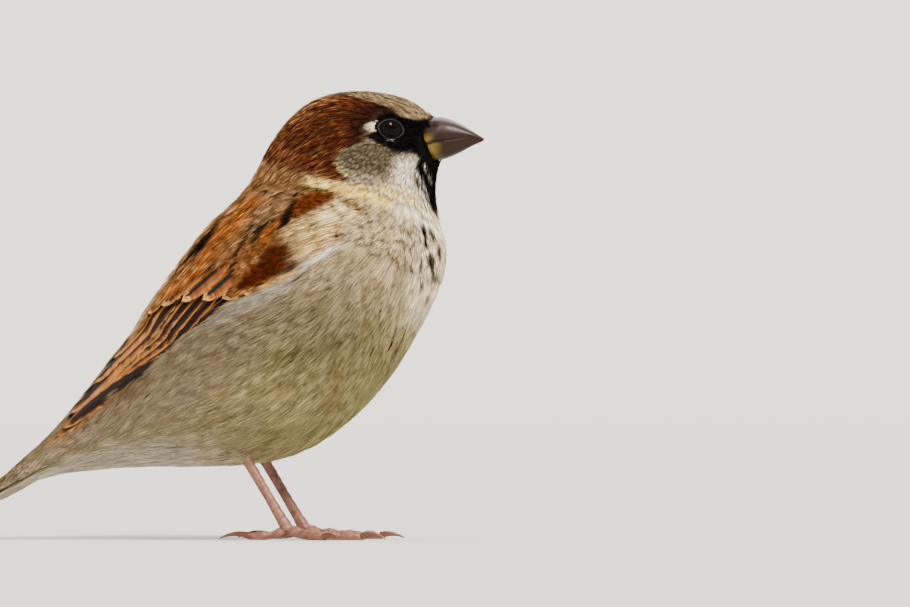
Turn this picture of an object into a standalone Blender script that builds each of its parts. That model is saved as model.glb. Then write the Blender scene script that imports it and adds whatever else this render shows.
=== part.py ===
"""A male house sparrow standing on level ground, life size, as a museum model.

The bird faces +X with its right side towards -Y. Lengths below are in millimetres and become metres
when a mesh is made. The head, neck, trunk and rump are lengths of one lofted body, parted by thin cuts;
each folded wing is a set of shells let into that body; bill, eyes, tail, legs, toes and claws are pieces
of their own. The last step sets the middle of the bird's outline box over the origin, on the floor.
"""

import math
from collections import namedtuple

import bmesh
import bpy
from mathutils import Vector

MM = 0.001
GAP = 0.3  # clearance between neighbouring pieces
FLOOR_SINK = 0.12  # how much of a toe's underside is flattened onto the floor

# Body sections, from the bill to the tail. A section is a cross-cut of the body from a point on the
# upper outline to a point on the lower one, both (x, z), with the body's half width there.
Section = namedtuple("Section", "place upper lower half_width")
BODY = (
    Section("bill base", (20.7, 81.0), (21.7, 72.7), 3.0),
    Section("lores", (18.3, 83.3), (21.1, 71.0), 4.5),
    Section("forehead", (13.6, 85.6), (20.6, 68.8), 6.7),
    Section("eyes", (6.7, 86.6), (20.6, 66.0), 8.9),
    Section("ear coverts", (0.0, 86.1), (21.0, 63.1), 10.5),
    Section("back of head", (-5.5, 83.6), (21.8, 60.2), 11.8),
    Section("nape", (-9.6, 79.5), (22.6, 56.9), 13.6),
    Section("neck base", (-12.8, 74.6), (22.7, 53.3), 16.3),
    Section("shoulders", (-17.0, 67.2), (21.3, 48.3), 19.5),
    Section("upper breast", (-23.6, 60.6), (17.5, 40.6), 21.4),
    Section("lower breast", (-28.6, 53.8), (11.4, 30.8), 21.9),
    Section("belly", (-33.2, 47.1), (3.1, 22.0), 20.8),
    Section("legs", (-37.0, 41.6), (-7.4, 15.8), 18.6),
    Section("vent", (-40.7, 37.0), (-21.0, 13.8), 15.3),
    Section("tail coverts", (-45.0, 31.6), (-33.5, 13.8), 11.6),
    Section("mid coverts", (-51.2, 24.6), (-45.0, 13.2), 8.9),
    Section("covert tips", (-57.6, 17.8), (-54.6, 12.0), 7.2),
    Section("wing tips", (-64.3, 12.9), (-62.3, 9.4), 6.0),
)
HEAD_END, NECK_END, TRUNK_END, RUMP_END = 5.15, 7.15, 13.0, 16.4  # section numbers where the body parts
FINE, COARSE = 3, 2  # rings between neighbouring sections
BODY_SIDES = 32
SQUARENESS = 2.12  # exponent of the sections' superellipse; 2 is an ellipse
LOW_SLUNG = 0.07  # how much wider a section is low down than high up

# Swellings and hollows of the head: section number, angle from the crown in degrees, reach along the
# body in sections, reach round it in degrees, height.
Swelling = namedtuple("Swelling", "section angle reach spread height")
FACE = (
    Swelling(4.0, 104, 0.9, 34, 0.9),  # cheek
    Swelling(2.75, 50, 0.6, 16, 0.35),  # brow
    Swelling(1.7, 84, 0.7, 26, -0.55),  # lore
    Swelling(1.9, 150, 0.9, 28, 0.35),  # chin tuft
)

EYE = (12.4, 6.2, 79.15)
EYE_RADIUS = 2.55

# Bill: (x, z) along the ridge, the cutting edge and the keel, from inside the head to the tip.
RIDGE = ((14.0, 80.4), (20.4, 81.3), (23.2, 80.9), (26.0, 79.6), (28.6, 77.9), (30.1, 76.9))
CUTTING_EDGE = ((14.0, 75.4), (18.4, 75.9), (21.4, 76.7), (24.6, 77.1), (27.6, 77.5), (30.1, 76.9))
KEEL = ((14.0, 73.0), (19.9, 73.2), (22.3, 73.4), (25.2, 74.6), (27.9, 76.1), (29.6, 76.9))
BILL_HALF_WIDTHS = (2.3, 3.75, 3.3, 2.35, 1.2, 0.25)
BILL_TIP_DEPTH = 0.55
BILL_SIDES = 16

# Folded wing: at each section number, the angles from the back's midline of its upper and lower edge,
# in degrees, the depth of its inner face below the body's surface and the height of its outer face.
WingCut = namedtuple("WingCut", "section upper lower inner outer")
WING = (
    WingCut(7, 72, 74, -1.1, 0.2),
    WingCut(8, 27, 95, -1.7, 1.0),
    WingCut(9, 20, 91, -1.7, 1.1),
    WingCut(10, 17, 77, -1.6, 1.2),
    WingCut(11, 13, 67, -1.4, 1.2),
    WingCut(12, 9, 63, -1.1, 1.1),
    WingCut(13, 8, 62, -0.8, 1.0),
    WingCut(14, 10, 61, -0.5, 1.0),
    WingCut(15, 20, 67, -0.2, 0.9),
    WingCut(16, 38, 80, 0.4, 1.1),
    WingCut(17, 60, 84, 0.6, 1.2),
)
WING_STARTS = (7.26, 7.26)  # section number of the wing's front, at its upper and lower edge
COVERTS_END = (11.9, 11.2)
TERTIALS_END = (15.0, 12.1)
WING_TIP = (16.75, 16.75)
ROW_PARTING = 0.07  # of a section, open between two rows of feathers
STEP_UNDER = 0.35  # each row of feathers lies this much lower than the row over it
WING_THINNEST = 0.55
WING_COLUMNS = 7
BACK_STEPS, BELLY_STEPS = 3, 8

TAIL_ROOT = (-37.0, 23.9)  # (x, z) of the tail's middle plane inside the rump
TAIL_SLOPE = math.radians(28.0)
TAIL_LENGTH = 51.0  # from that point to the tip
TAIL_HALF_WIDTHS = (3.4, 10.6)
TAIL_PLATE = 0.8  # thickness of a layer of tail feathers
TAIL_NOTCH = 1.8
TAIL_ROWS = (0.0, 0.12, 0.25, 0.4, 0.55, 0.7, 0.82, 0.91, 0.965, 1.0)  # shares of its length

FOOT_X, FOOT_Y = -6.6, 9.0
ANKLE = (-16.0, 17.6)
TARSUS_RADIUS = 0.95
FOOT_JOINT_Z = 1.9
FOOT_BALL = 1.3
THIGH_TOP = (-12.7, 26.0)
THIGH_RADII = (6.0, 5.4, 3.2, 1.7)
TOE_RADIUS = 0.78
# Toes: name, length without the claw, heading from straight ahead (outwards positive), claw length.
Toe = namedtuple("Toe", "name length heading claw")
TOES = (
    Toe("middle_toe", 15.0, 4, 4.7),
    Toe("inner_toe", 10.0, -28, 4.0),
    Toe("outer_toe", 10.4, 36, 4.0),
    Toe("hind_toe", 7.6, 177, 6.0),
)

SIDES = {"right": -1, "left": 1}
COLOURS = {  # base colour, roughness
    "head_feathers": ((0.20, 0.075, 0.03), 0.8),
    "neck_feathers": ((0.50, 0.38, 0.24), 0.8),
    "body_feathers": ((0.46, 0.38, 0.28), 0.85),
    "wing_feathers": ((0.36, 0.14, 0.045), 0.7),
    "tail_feathers": ((0.10, 0.07, 0.05), 0.65),
    "bill": ((0.13, 0.09, 0.075), 0.35),
    "eye": ((0.01, 0.008, 0.006), 0.08),
    "leg": ((0.32, 0.17, 0.12), 0.5),
    "claw": ((0.07, 0.04, 0.03), 0.4),
}


def clear_scene():
    for obj in list(bpy.data.objects):
        bpy.data.objects.remove(obj)


def material(name):
    """The named finish, made once."""
    found = bpy.data.materials.get(name)
    if found:
        return found
    colour, roughness = COLOURS[name]
    made = bpy.data.materials.new(name)
    made.use_nodes = True
    shader = made.node_tree.nodes["Principled BSDF"]
    shader.inputs["Base Color"].default_value = (*colour, 1.0)
    shader.inputs["Roughness"].default_value = roughness
    return made


def blend(values, at):
    """A smooth curve through evenly numbered values, read at a fractional number."""
    last = len(values) - 1
    i = min(max(int(math.floor(at)), 0), last - 1)
    t = at - i
    before, start, end, after = (values[min(max(i + k, 0), last)] for k in (-1, 0, 1, 2))
    return start + 0.5 * t * (
        end - before + t * (2 * before - 5 * start + 4 * end - after + t * (3 * (start - end) + after - before))
    )


def blend_tuple(rows, at):
    return tuple(blend(column, at) for column in zip(*rows))


def signed_power(value, power):
    return math.copysign(abs(value) ** power, value)


def swell(section, angle):
    """Height of the face's swellings at a place on the body, the same on both sides."""
    height = 0.0
    turned = abs((math.degrees(angle) + 180) % 360 - 180)
    for s in FACE:
        away = ((section - s.section) / s.reach) ** 2 + ((turned - s.angle) / s.spread) ** 2
        height += s.height * math.exp(-away)
    return height


def body_point(section, angle, lift=0.0):
    """A point of the body's surface: section number, angle from the back's midline, height over it."""
    numbers = [(*cut.upper, *cut.lower, cut.half_width) for cut in BODY]
    ux, uz, lx, lz, half_width = blend_tuple(numbers, section)
    centre = Vector(((ux + lx) / 2, 0, (uz + lz) / 2))
    up = Vector(((ux - lx) / 2, 0, (uz - lz) / 2))
    half_depth = up.length
    lift += swell(section, angle)
    c = signed_power(math.cos(angle), 2 / SQUARENESS)
    s = signed_power(math.sin(angle), 2 / SQUARENESS)
    side = (half_width + lift) * s * (1 - LOW_SLUNG * c)
    return centre + up * (c * (half_depth + lift) / half_depth) + Vector((0, side, 0))


def mesh_object(name, points, faces, finish, smooth_below=35):
    """An object made of points in millimetres, with its faces turned outwards."""
    mesh = bpy.data.meshes.new(name)
    mesh.from_pydata([tuple(c * MM for c in p) for p in points], [], faces)
    shape = bmesh.new()
    shape.from_mesh(mesh)
    bmesh.ops.recalc_face_normals(shape, faces=shape.faces)
    shape.to_mesh(mesh)
    shape.free()
    mesh.shade_smooth()
    mesh.set_sharp_from_angle(angle=math.radians(smooth_below))
    mesh.materials.append(material(finish))
    obj = bpy.data.objects.new(name, mesh)
    parts.objects.link(obj)
    return obj


def loft(name, rings, finish):
    """A closed skin over rings of points, with flat ends."""
    count = len(rings[0])
    points = [p for ring in rings for p in ring]
    faces = [
        (r * count + i, r * count + (i + 1) % count, (r + 1) * count + (i + 1) % count, (r + 1) * count + i)
        for r in range(len(rings) - 1)
        for i in range(count)
    ]
    faces.append(tuple(range(count)))
    faces.append(tuple((len(rings) - 1) * count + i for i in range(count)))
    return mesh_object(name, points, faces, finish)


def slab(name, outer, inner, finish):
    """A closed shell between two grids of points, given as lists of rows."""
    rows, columns = len(outer), len(outer[0])
    points = [p for row in outer for p in row] + [p for row in inner for p in row]
    under = rows * columns

    def at(r, c):
        return r * columns + c

    faces = []
    for r in range(rows - 1):
        for c in range(columns - 1):
            cell = (at(r, c), at(r, c + 1), at(r + 1, c + 1), at(r + 1, c))
            faces += [cell, tuple(under + k for k in reversed(cell))]
    border = [at(0, c) for c in range(columns - 1)]
    border += [at(r, columns - 1) for r in range(rows - 1)]
    border += [at(rows - 1, c) for c in range(columns - 1, 0, -1)]
    border += [at(r, 0) for r in range(rows - 1, 0, -1)]
    for a, b in zip(border, border[1:] + border[:1]):
        faces.append((b, a, under + a, under + b))
    return mesh_object(name, points, faces, finish)


def as_cutter(obj):
    """Keeps an object out of the model, to be used by a Boolean."""
    parts.objects.unlink(obj)
    cutters.objects.link(obj)
    obj.hide_render = True
    obj.display_type = "WIRE"
    return obj


def cut(obj, cutter):
    modifier = obj.modifiers.new("cut by " + cutter.name, "BOOLEAN")
    modifier.operation = "DIFFERENCE"
    modifier.object = cutter


def frange(start, end, count):
    return [start + (end - start) * i / (count - 1) for i in range(count)]


def wing_at(section):
    """Upper angle, lower angle, inner and outer height of the wing at a section number."""
    return blend_tuple([cut[1:] for cut in WING], section - WING[0].section)


def across_wing(section, share, grow=0.0):
    """The angle at a share of the way from the wing's upper edge to its lower one, in radians."""
    upper, lower = wing_at(section)[:2]
    widened = math.degrees(grow / (body_point(section, math.pi / 2).y + 1))
    return math.radians(upper - widened + (lower - upper + 2 * widened) * share)


def plain_ring(section):
    return [body_point(section, 2 * math.pi * i / BODY_SIDES) for i in range(BODY_SIDES)]


def hollowed_ring(section):
    """A ring of the body with a shallow bed on each side for the wing to lie in."""
    inner, outer = wing_at(section)[2:]
    bed = min(inner, outer - 2 * STEP_UNDER - WING_THINNEST) - GAP
    clear = 1.5 * GAP
    shares = [i / WING_COLUMNS for i in range(WING_COLUMNS + 1)]
    in_bed = [(across_wing(section, share, clear), bed) for share in shares]
    high, low = in_bed[0][0], in_bed[-1][0]
    back = [(high * i / BACK_STEPS, 0.0) for i in range(BACK_STEPS + 1)]
    belly = [(low + (math.pi - low) * i / BELLY_STEPS, 0.0) for i in range(BELLY_STEPS + 1)]
    half = back + in_bed + belly
    places = half + [(-angle, lift) for angle, lift in reversed(half[1:-1])]
    return [body_point(section, angle, lift) for angle, lift in places]


def body_length(name, start, end, finish, steps, ring=plain_ring):
    """One length of the body, from one section number to another."""
    count = round((end - start) * steps) + 1
    loft(name, [ring(section) for section in frange(start, end, count)], finish)


def make_body():
    open_share = 0.1  # of a section, between two lengths
    body_length("head", 0.0, HEAD_END, "head_feathers", FINE)
    body_length("neck", HEAD_END + open_share, NECK_END, "neck_feathers", COARSE)
    body_length("trunk", NECK_END + open_share, TRUNK_END, "body_feathers", FINE, hollowed_ring)
    body_length("rump", TRUNK_END + open_share, RUMP_END, "body_feathers", COARSE, hollowed_ring)


def round_solid(name, centre, radius, finish, segments=16, rings=9):
    bpy.ops.mesh.primitive_uv_sphere_add(
        segments=segments, ring_count=rings, radius=radius * MM, location=Vector(centre) * MM
    )
    obj = bpy.context.active_object
    obj.name = obj.data.name = name
    for owner in obj.users_collection:
        owner.objects.unlink(obj)
    parts.objects.link(obj)
    obj.data.shade_smooth()
    obj.data.materials.append(material(finish))
    return obj


def make_eyes():
    for side, sign in SIDES.items():
        x, y, z = EYE
        round_solid("eye_" + side, (x, sign * y, z), EYE_RADIUS, "eye")
        socket = round_solid("socket_" + side, (x, sign * y, z), EYE_RADIUS + GAP, "head_feathers")
        cut(bpy.data.objects["head"], as_cutter(socket))


def bill_ring(at, edge, arch, grow):
    """One ring of a bill half: flat along the cutting edge and arched to the ridge or the keel."""
    x_edge, z_edge = blend_tuple(edge, at)
    x_arch, z_arch = blend_tuple(arch, at)
    half_width = blend(BILL_HALF_WIDTHS, at) + grow
    away = math.copysign(1, z_arch - z_edge)
    ring = []
    for i in range(BILL_SIDES):
        angle = 2 * math.pi * i / BILL_SIDES
        c = math.cos(angle)
        share = max(c, 0)
        rise = away * grow * (share if c > -1e-6 else -1)
        z = z_edge + (z_arch - z_edge) * share + rise
        ring.append(Vector((x_edge + (x_arch - x_edge) * share, half_width * math.sin(angle), z)))
    return ring


def bill_half(name, edge, arch, grow=0.0):
    count = 2 * (len(RIDGE) - 1) + 1
    rings = [bill_ring(at, edge, arch, grow) for at in frange(0, len(RIDGE) - 1, count)]
    rings[0] = [p - Vector((grow, 0, 0)) for p in rings[0]]
    return loft(name, rings, "bill")


def make_bill():
    """Upper and lower halves that meet along the cutting edge, and the holes in the face for them."""
    last = len(RIDGE) - 1
    ridge = [(x, z + BILL_TIP_DEPTH * i / last) for i, (x, z) in enumerate(RIDGE)]
    keel = [(x, z - BILL_TIP_DEPTH * i / last) for i, (x, z) in enumerate(KEEL)]
    halves = (
        ("upper", [(x, z + GAP / 2) for x, z in CUTTING_EDGE], ridge),
        ("lower", [(x, z - GAP / 2) for x, z in CUTTING_EDGE], keel),
    )
    for half, edge, arch in halves:
        bill_half("bill_" + half, edge, arch)
        hole = as_cutter(bill_half(half + "_bill_hole", edge, arch, grow=GAP))
        cut(bpy.data.objects["head"], hole)


def wing_shell(name, side, starts, ends, under, rows):
    """A stretch of wing; starts and ends are section numbers at its upper and its lower edge."""
    outer_grid, inner_grid = [], []
    for r in range(rows):
        outer_row, inner_row = [], []
        for c in range(WING_COLUMNS + 1):
            share = c / WING_COLUMNS
            start = starts[0] + (starts[1] - starts[0]) * share
            end = ends[0] + (ends[1] - ends[0]) * share
            section = start + (end - start) * r / (rows - 1)
            angle = SIDES[side] * across_wing(section, share)
            inner, outer = wing_at(section)[2:]
            outer -= under
            outer_row.append(body_point(section, angle, outer))
            inner_row.append(body_point(section, angle, min(inner, outer - WING_THINNEST)))
        outer_grid.append(outer_row)
        inner_grid.append(inner_row)
    return slab(name, outer_grid, inner_grid, "wing_feathers")


def make_wings():
    """Three rows of feathers to a wing: coverts, tertials with secondaries, and primaries."""
    tertials_start = tuple(end + ROW_PARTING for end in COVERTS_END)
    primaries_start = tuple(end + ROW_PARTING for end in TERTIALS_END)
    for side in SIDES:
        wing_shell(f"wing_{side}_coverts", side, WING_STARTS, COVERTS_END, 0.0, 13)
        wing_shell(f"wing_{side}_tertials", side, tertials_start, TERTIALS_END, STEP_UNDER, 7)
        wing_shell(f"wing_{side}_primaries", side, primaries_start, WING_TIP, 2 * STEP_UNDER, 9)


def tail_point(along, across, lift):
    """A point of the tail: distance from its root, distance from the midline, height over its middle plane."""
    x = TAIL_ROOT[0] - along * math.cos(TAIL_SLOPE) + lift * -math.sin(TAIL_SLOPE)
    z = TAIL_ROOT[1] - along * math.sin(TAIL_SLOPE) + lift * math.cos(TAIL_SLOPE)
    return Vector((x, across, z))


def tail_layer(name, inner_edges, outer_edges, top, thickness=TAIL_PLATE, rest=0.0, columns=7):
    """A layer of closed tail feathers between two edges, each given at the root and at the tip.

    It is rounded at the tip and bent along the floor there, with its underside at the height called rest."""
    grids = []
    for lift, lowest in ((top, rest + 0.95 * thickness), (top - thickness, rest)):
        grid = []
        for along in TAIL_ROWS:
            inner = inner_edges[0] + (inner_edges[1] - inner_edges[0]) * along
            outer = outer_edges[0] + (outer_edges[1] - outer_edges[0]) * along
            row = []
            for c in range(columns):
                share = c / (columns - 1)
                across = inner + (outer - inner) * share
                rounding = 2.6 * along**6 * (2 * share - 1) ** 4
                cleft = TAIL_NOTCH * along**4 * (1 - abs(across) / abs(outer_edges[1]))
                droop = 0.006 * across**2
                place = tail_point(along * TAIL_LENGTH - rounding - cleft, across, lift - droop)
                place.z = max(place.z, lowest)
                row.append(place)
            grid.append(row)
        grids.append(grid)
    return slab(name, *grids, "tail_feathers")


def make_tail():
    """The middle feathers lie on the outer ones, which meet under them."""
    half_root, half_tip = TAIL_HALF_WIDTHS
    middle = 0.46 * half_tip
    over = TAIL_PLATE + GAP
    tail_layer("tail_centre", (-middle, -middle), (middle, middle), over - GAP / 2, rest=over)
    for side, sign in SIDES.items():
        inner = sign * GAP / 2
        tail_layer(f"tail_{side}", (inner, inner), (sign * half_root, sign * half_tip), -GAP / 2)
    room = [middle + 2 * GAP, half_tip + 2 * GAP]
    whole = 2 * TAIL_PLATE + 3 * GAP
    hole = tail_layer("tail_hole", [-r for r in room], room, TAIL_PLATE + 1.5 * GAP, thickness=whole)
    cut(bpy.data.objects["rump"], as_cutter(hole))


def tube(name, points, radii, finish, sides=3):
    """A tapered round rod through points, closed at both ends, as a mesh."""
    curve = bpy.data.curves.new(name, "CURVE")
    curve.dimensions = "3D"
    curve.bevel_depth = MM
    curve.bevel_resolution = sides
    curve.use_fill_caps = True
    spline = curve.splines.new("POLY")
    spline.points.add(len(points) - 1)
    for knot, place, radius in zip(spline.points, points, radii):
        knot.co = (*(Vector(place) * MM), 1)
        knot.radius = radius
    guide = bpy.data.objects.new(name + "_guide", curve)
    bpy.context.scene.collection.objects.link(guide)
    bpy.context.view_layer.update()
    graph = bpy.context.evaluated_depsgraph_get()
    mesh = bpy.data.meshes.new_from_object(guide.evaluated_get(graph))
    bpy.data.objects.remove(guide)
    shape = bmesh.new()
    shape.from_mesh(mesh)
    bmesh.ops.remove_doubles(shape, verts=shape.verts, dist=1e-6)
    bmesh.ops.recalc_face_normals(shape, faces=shape.faces)
    shape.to_mesh(mesh)
    shape.free()
    mesh.name = name
    mesh.materials.clear()
    mesh.materials.append(material(finish))
    mesh.shade_smooth()
    obj = bpy.data.objects.new(name, mesh)
    parts.objects.link(obj)
    return obj


def flatten_onto_floor(obj):
    """Brings what is below the floor up to it, as a soft pad spreads."""
    for vertex in obj.data.vertices:
        vertex.co.z = max(vertex.co.z, 0.0)


def make_leg(side):
    sign = SIDES[side]
    y = sign * FOOT_Y
    ankle = Vector((ANKLE[0], y, ANKLE[1]))
    foot = Vector((FOOT_X, y, FOOT_JOINT_Z))
    top = Vector((THIGH_TOP[0], y * 0.86, THIGH_TOP[1]))
    shank = foot - ankle
    cuff = ankle + shank * 0.18
    knots = [top, top.lerp(ankle, 0.45), ankle, cuff]
    tube("thigh_" + side, knots, THIGH_RADII, "body_feathers", sides=4)
    room = [top + (top - ankle).normalized() * GAP, *knots[1:3], cuff + shank.normalized() * GAP]
    socket = tube("thigh_hole_" + side, room, [r + GAP for r in THIGH_RADII], "body_feathers", sides=4)
    cut(bpy.data.objects["trunk"], as_cutter(socket))
    start = cuff + shank.normalized() * GAP
    shares = (0.0, 0.25, 0.6, 0.85, 1.0)
    swelling = (1.25, 1.0, 0.95, 1.1, 1.3)
    rod = [start.lerp(foot, share) for share in shares] + [Vector((FOOT_X, y, h)) for h in (0.9, 0.0)]
    tube("tarsus_" + side, rod, [TARSUS_RADIUS * k for k in swelling] + [FOOT_BALL, FOOT_BALL * 0.8], "leg")


def make_foot(side):
    """Four toes that lie on the floor round the foot's ball, each with its claw."""
    sign = SIDES[side]
    for toe in TOES:
        heading = math.radians(toe.heading)
        ahead = Vector((math.cos(heading), sign * math.sin(heading), 0))
        joint = Vector((FOOT_X, sign * FOOT_Y, 0))
        low = TOE_RADIUS - FLOOR_SINK
        start = FOOT_BALL + GAP + 0.4
        knuckles = (0.0, 0.1, 0.24, 0.36, 0.5, 0.66, 0.82, 0.95, 1.0)
        girths = (0.45, 0.74, 0.98, 1.1, 0.92, 1.06, 0.88, 0.95, 0.6)
        lift = [0.55 * (1 - share) ** 3 for share in knuckles]
        rod = [
            joint + ahead * (start + (toe.length - start) * share) + Vector((0, 0, low + rise))
            for share, rise in zip(knuckles, lift)
        ]
        pad = tube(f"{toe.name}_{side}", rod, [TOE_RADIUS * g for g in girths], "leg", sides=2)
        flatten_onto_floor(pad)
        make_claw(f"{toe.name.replace('toe', 'claw')}_{side}", joint + ahead * (toe.length + GAP), ahead, toe.claw)


def make_claw(name, base, ahead, length):
    """A curved cone that arches up from the toe and comes down to the floor."""
    rise, root_height, tip_height = 0.22, 0.68, 0.3
    steps = (0.0, 0.25, 0.5, 0.75, 0.92, 1.0)
    knots, radii = [], []
    for share in steps:
        height = root_height + (tip_height - root_height) * share + 4 * rise * length * share * (1 - share) * 0.5
        knots.append(base + ahead * (length * share) + Vector((0, 0, height)))
        radii.append(0.58 * (1 - share) ** 0.75 + 0.25)
    flatten_onto_floor(tube(name, knots, radii, "claw", sides=2))


def stand_on_origin():
    """Moves the bird so that the middle of its outline box is over the origin."""
    bpy.context.view_layer.update()
    graph = bpy.context.evaluated_depsgraph_get()
    corners = []
    for obj in parts.objects:
        ready = obj.evaluated_get(graph)
        corners += [ready.matrix_world @ v.co for v in ready.data.vertices]
    lows = [min(c[k] for c in corners) for k in range(3)]
    highs = [max(c[k] for c in corners) for k in range(3)]
    shift = Vector((-(lows[0] + highs[0]) / 2, -(lows[1] + highs[1]) / 2, -lows[2]))
    stand = bpy.data.objects.new("bird", None)
    parts.objects.link(stand)
    for obj in [*parts.objects, *cutters.objects]:
        if obj is not stand:
            obj.parent = stand
    stand.location = shift


def main():
    make_body()
    make_eyes()
    make_bill()
    make_wings()
    make_tail()
    for side in SIDES:
        make_leg(side)
        make_foot(side)
    stand_on_origin()


clear_scene()
parts = bpy.data.collections.new("house_sparrow")
cutters = bpy.data.collections.new("cutters")
cutters.hide_render = True
bpy.context.scene.collection.children.link(parts)
bpy.context.scene.collection.children.link(cutters)
main()
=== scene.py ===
"""Skin, plumage, eyes, bill, legs and stage of a life-size male house sparrow, dressed over its solids.

Everything is laid out in the bird's own frame, in millimetres: x ahead, y to its left, z above the floor,
with the bill's tip at x = 30.1. Meshes become metres in the model's frame when they are made. What is
laid out on one side is mirrored on the other.
"""

import functools
import math
from collections import namedtuple

import bpy
import numpy as np
from bpy.props import FloatProperty, FloatVectorProperty, PointerProperty
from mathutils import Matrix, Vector
from mathutils.bvhtree import BVHTree


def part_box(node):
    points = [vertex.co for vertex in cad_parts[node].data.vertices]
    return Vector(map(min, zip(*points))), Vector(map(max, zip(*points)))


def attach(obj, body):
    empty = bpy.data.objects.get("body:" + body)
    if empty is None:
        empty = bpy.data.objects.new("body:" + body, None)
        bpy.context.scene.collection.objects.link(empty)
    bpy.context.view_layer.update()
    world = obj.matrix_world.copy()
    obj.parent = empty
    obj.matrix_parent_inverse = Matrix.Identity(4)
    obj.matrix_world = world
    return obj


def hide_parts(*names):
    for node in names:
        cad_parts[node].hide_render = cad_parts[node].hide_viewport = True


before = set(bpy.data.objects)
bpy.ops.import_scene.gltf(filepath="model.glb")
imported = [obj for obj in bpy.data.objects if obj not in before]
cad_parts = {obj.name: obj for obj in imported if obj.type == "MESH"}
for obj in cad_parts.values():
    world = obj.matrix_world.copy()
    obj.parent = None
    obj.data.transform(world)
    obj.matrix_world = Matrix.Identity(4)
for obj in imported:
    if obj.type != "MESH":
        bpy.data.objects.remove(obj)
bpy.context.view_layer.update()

bl_info = {
    "name": "House Sparrow Dressing",
    "version": (1, 0, 0),
    "blender": (4, 5, 0),
    "location": "View3D > Sidebar > Sparrow",
    "description": "Skin, plumage, eyes, bill, legs and stage of a standing house sparrow",
    "category": "Object",
}

MM = 0.001
BILL_TIP_X = 30.1
BIRD_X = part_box("bill_upper")[1].x / MM - BILL_TIP_X  # the bird's zero in the model's frame
EYE_HEIGHT = (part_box("eye_right")[1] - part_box("eye_right")[0]).z / MM
FLESH = ("head", "neck", "trunk", "rump", "thigh_right", "thigh_left")
SIDES = {"right": -1, "left": 1}
WING_SHELLS = {
    side: [f"wing_{side}_{row}" for row in ("coverts", "tertials", "primaries")] for side in SIDES
}
TAIL_SHELLS = ("tail_centre", "tail_right", "tail_left")

# Cross-cuts of the body from bill to wing tips, numbered from 0: a point of the upper outline and one of
# the lower outline, both (x, z), and the half width between them. A station is a number along this list,
# and an angle goes from the back's midline, 0, to the belly's, 180.
BODY_CUTS = (
    (20.7, 81.0, 21.7, 72.7, 3.0),
    (18.3, 83.3, 21.1, 71.0, 4.5),
    (13.6, 85.6, 20.6, 68.8, 6.7),
    (6.7, 86.6, 20.6, 66.0, 8.9),
    (0.0, 86.1, 21.0, 63.1, 10.5),
    (-5.5, 83.6, 21.8, 60.2, 11.8),
    (-9.6, 79.5, 22.6, 56.9, 13.6),
    (-12.8, 74.6, 22.7, 53.3, 16.3),
    (-17.0, 67.2, 21.3, 48.3, 19.5),
    (-23.6, 60.6, 17.5, 40.6, 21.4),
    (-28.6, 53.8, 11.4, 30.8, 21.9),
    (-33.2, 47.1, 3.1, 22.0, 20.8),
    (-37.0, 41.6, -7.4, 15.8, 18.6),
    (-40.7, 37.0, -21.0, 13.8, 15.3),
    (-45.0, 31.6, -33.5, 13.8, 11.6),
    (-51.2, 24.6, -45.0, 13.2, 8.9),
    (-57.6, 17.8, -54.6, 12.0, 7.2),
    (-64.3, 12.9, -62.3, 9.4, 6.0),
)
CUTS_BETWEEN = 24  # finer cuts made between neighbouring ones
TAIL_ROOT = (-37.0, 23.9)  # x and z of the tail's middle where it leaves the flesh
TAIL_SLOPE = math.radians(28.0)
COVERT_PADDING = (  # x, top and half width of the dome under the tail coverts
    (-45.0, 29.5, 8.6), (-49.5, 25.0, 8.1), (-54.0, 20.9, 7.8), (-58.0, 17.4, 7.6), (-62.0, 14.5, 7.3),
    (-66.0, 11.5, 6.4), (-70.0, 8.6, 5.0),
)


# ---- Sizes and colours that a user would change ----


def tone(code):
    """A colour written as six hexadecimal digits, in linear light."""
    value = np.array([int(code[i : i + 2], 16) / 255 for i in (0, 2, 4)])
    return np.where(value <= 0.04045, value / 12.92, ((value + 0.055) / 1.055) ** 2.4)


def length(name, description, millimetres):
    return FloatProperty(
        name=name, description=description, default=millimetres * MM, min=0.0, precision=5, unit="LENGTH"
    )


def factor(name, description):
    return FloatProperty(name=name, description=description, default=1.0, min=0.0, max=4.0)


def colour(name, description, code):
    return FloatVectorProperty(
        name=name, description=description, default=tuple(tone(code)), min=0.0, max=1.0, subtype="COLOR"
    )


class SparrowSizes(bpy.types.PropertyGroup):
    """Sizes of the dressing that can change without the solids changing."""

    eye_radius: length("Eye radius", "Radius of the eyeballs", EYE_HEIGHT / 2)
    lid_opening: length("Lid opening", "Half the opening between the lids", 1.52)
    lid_ring: length("Lid ring", "Half the width of the bare ring of lids", 2.56)
    feather_length: factor("Feather length", "Length of the loose feathers, 1 for the species' own")
    barb_width: factor("Barb width", "Width of the loose barbs, 1 for the species' own")
    coat_depth: factor("Coat depth", "Depth of the skin under the coat's tips, 1 for the species' own")
    tarsus_radius: length("Tarsus radius", "Radius of the shank's middle", 0.95)
    toe_radius: length("Toe radius", "Radius of the toes' middle", 0.78)
    tail_feather_width: length("Tail feather width", "Half width of one tail feather", 2.7)
    light: factor("Light", "Strength of the studio lights, 1 for the usual")


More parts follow.
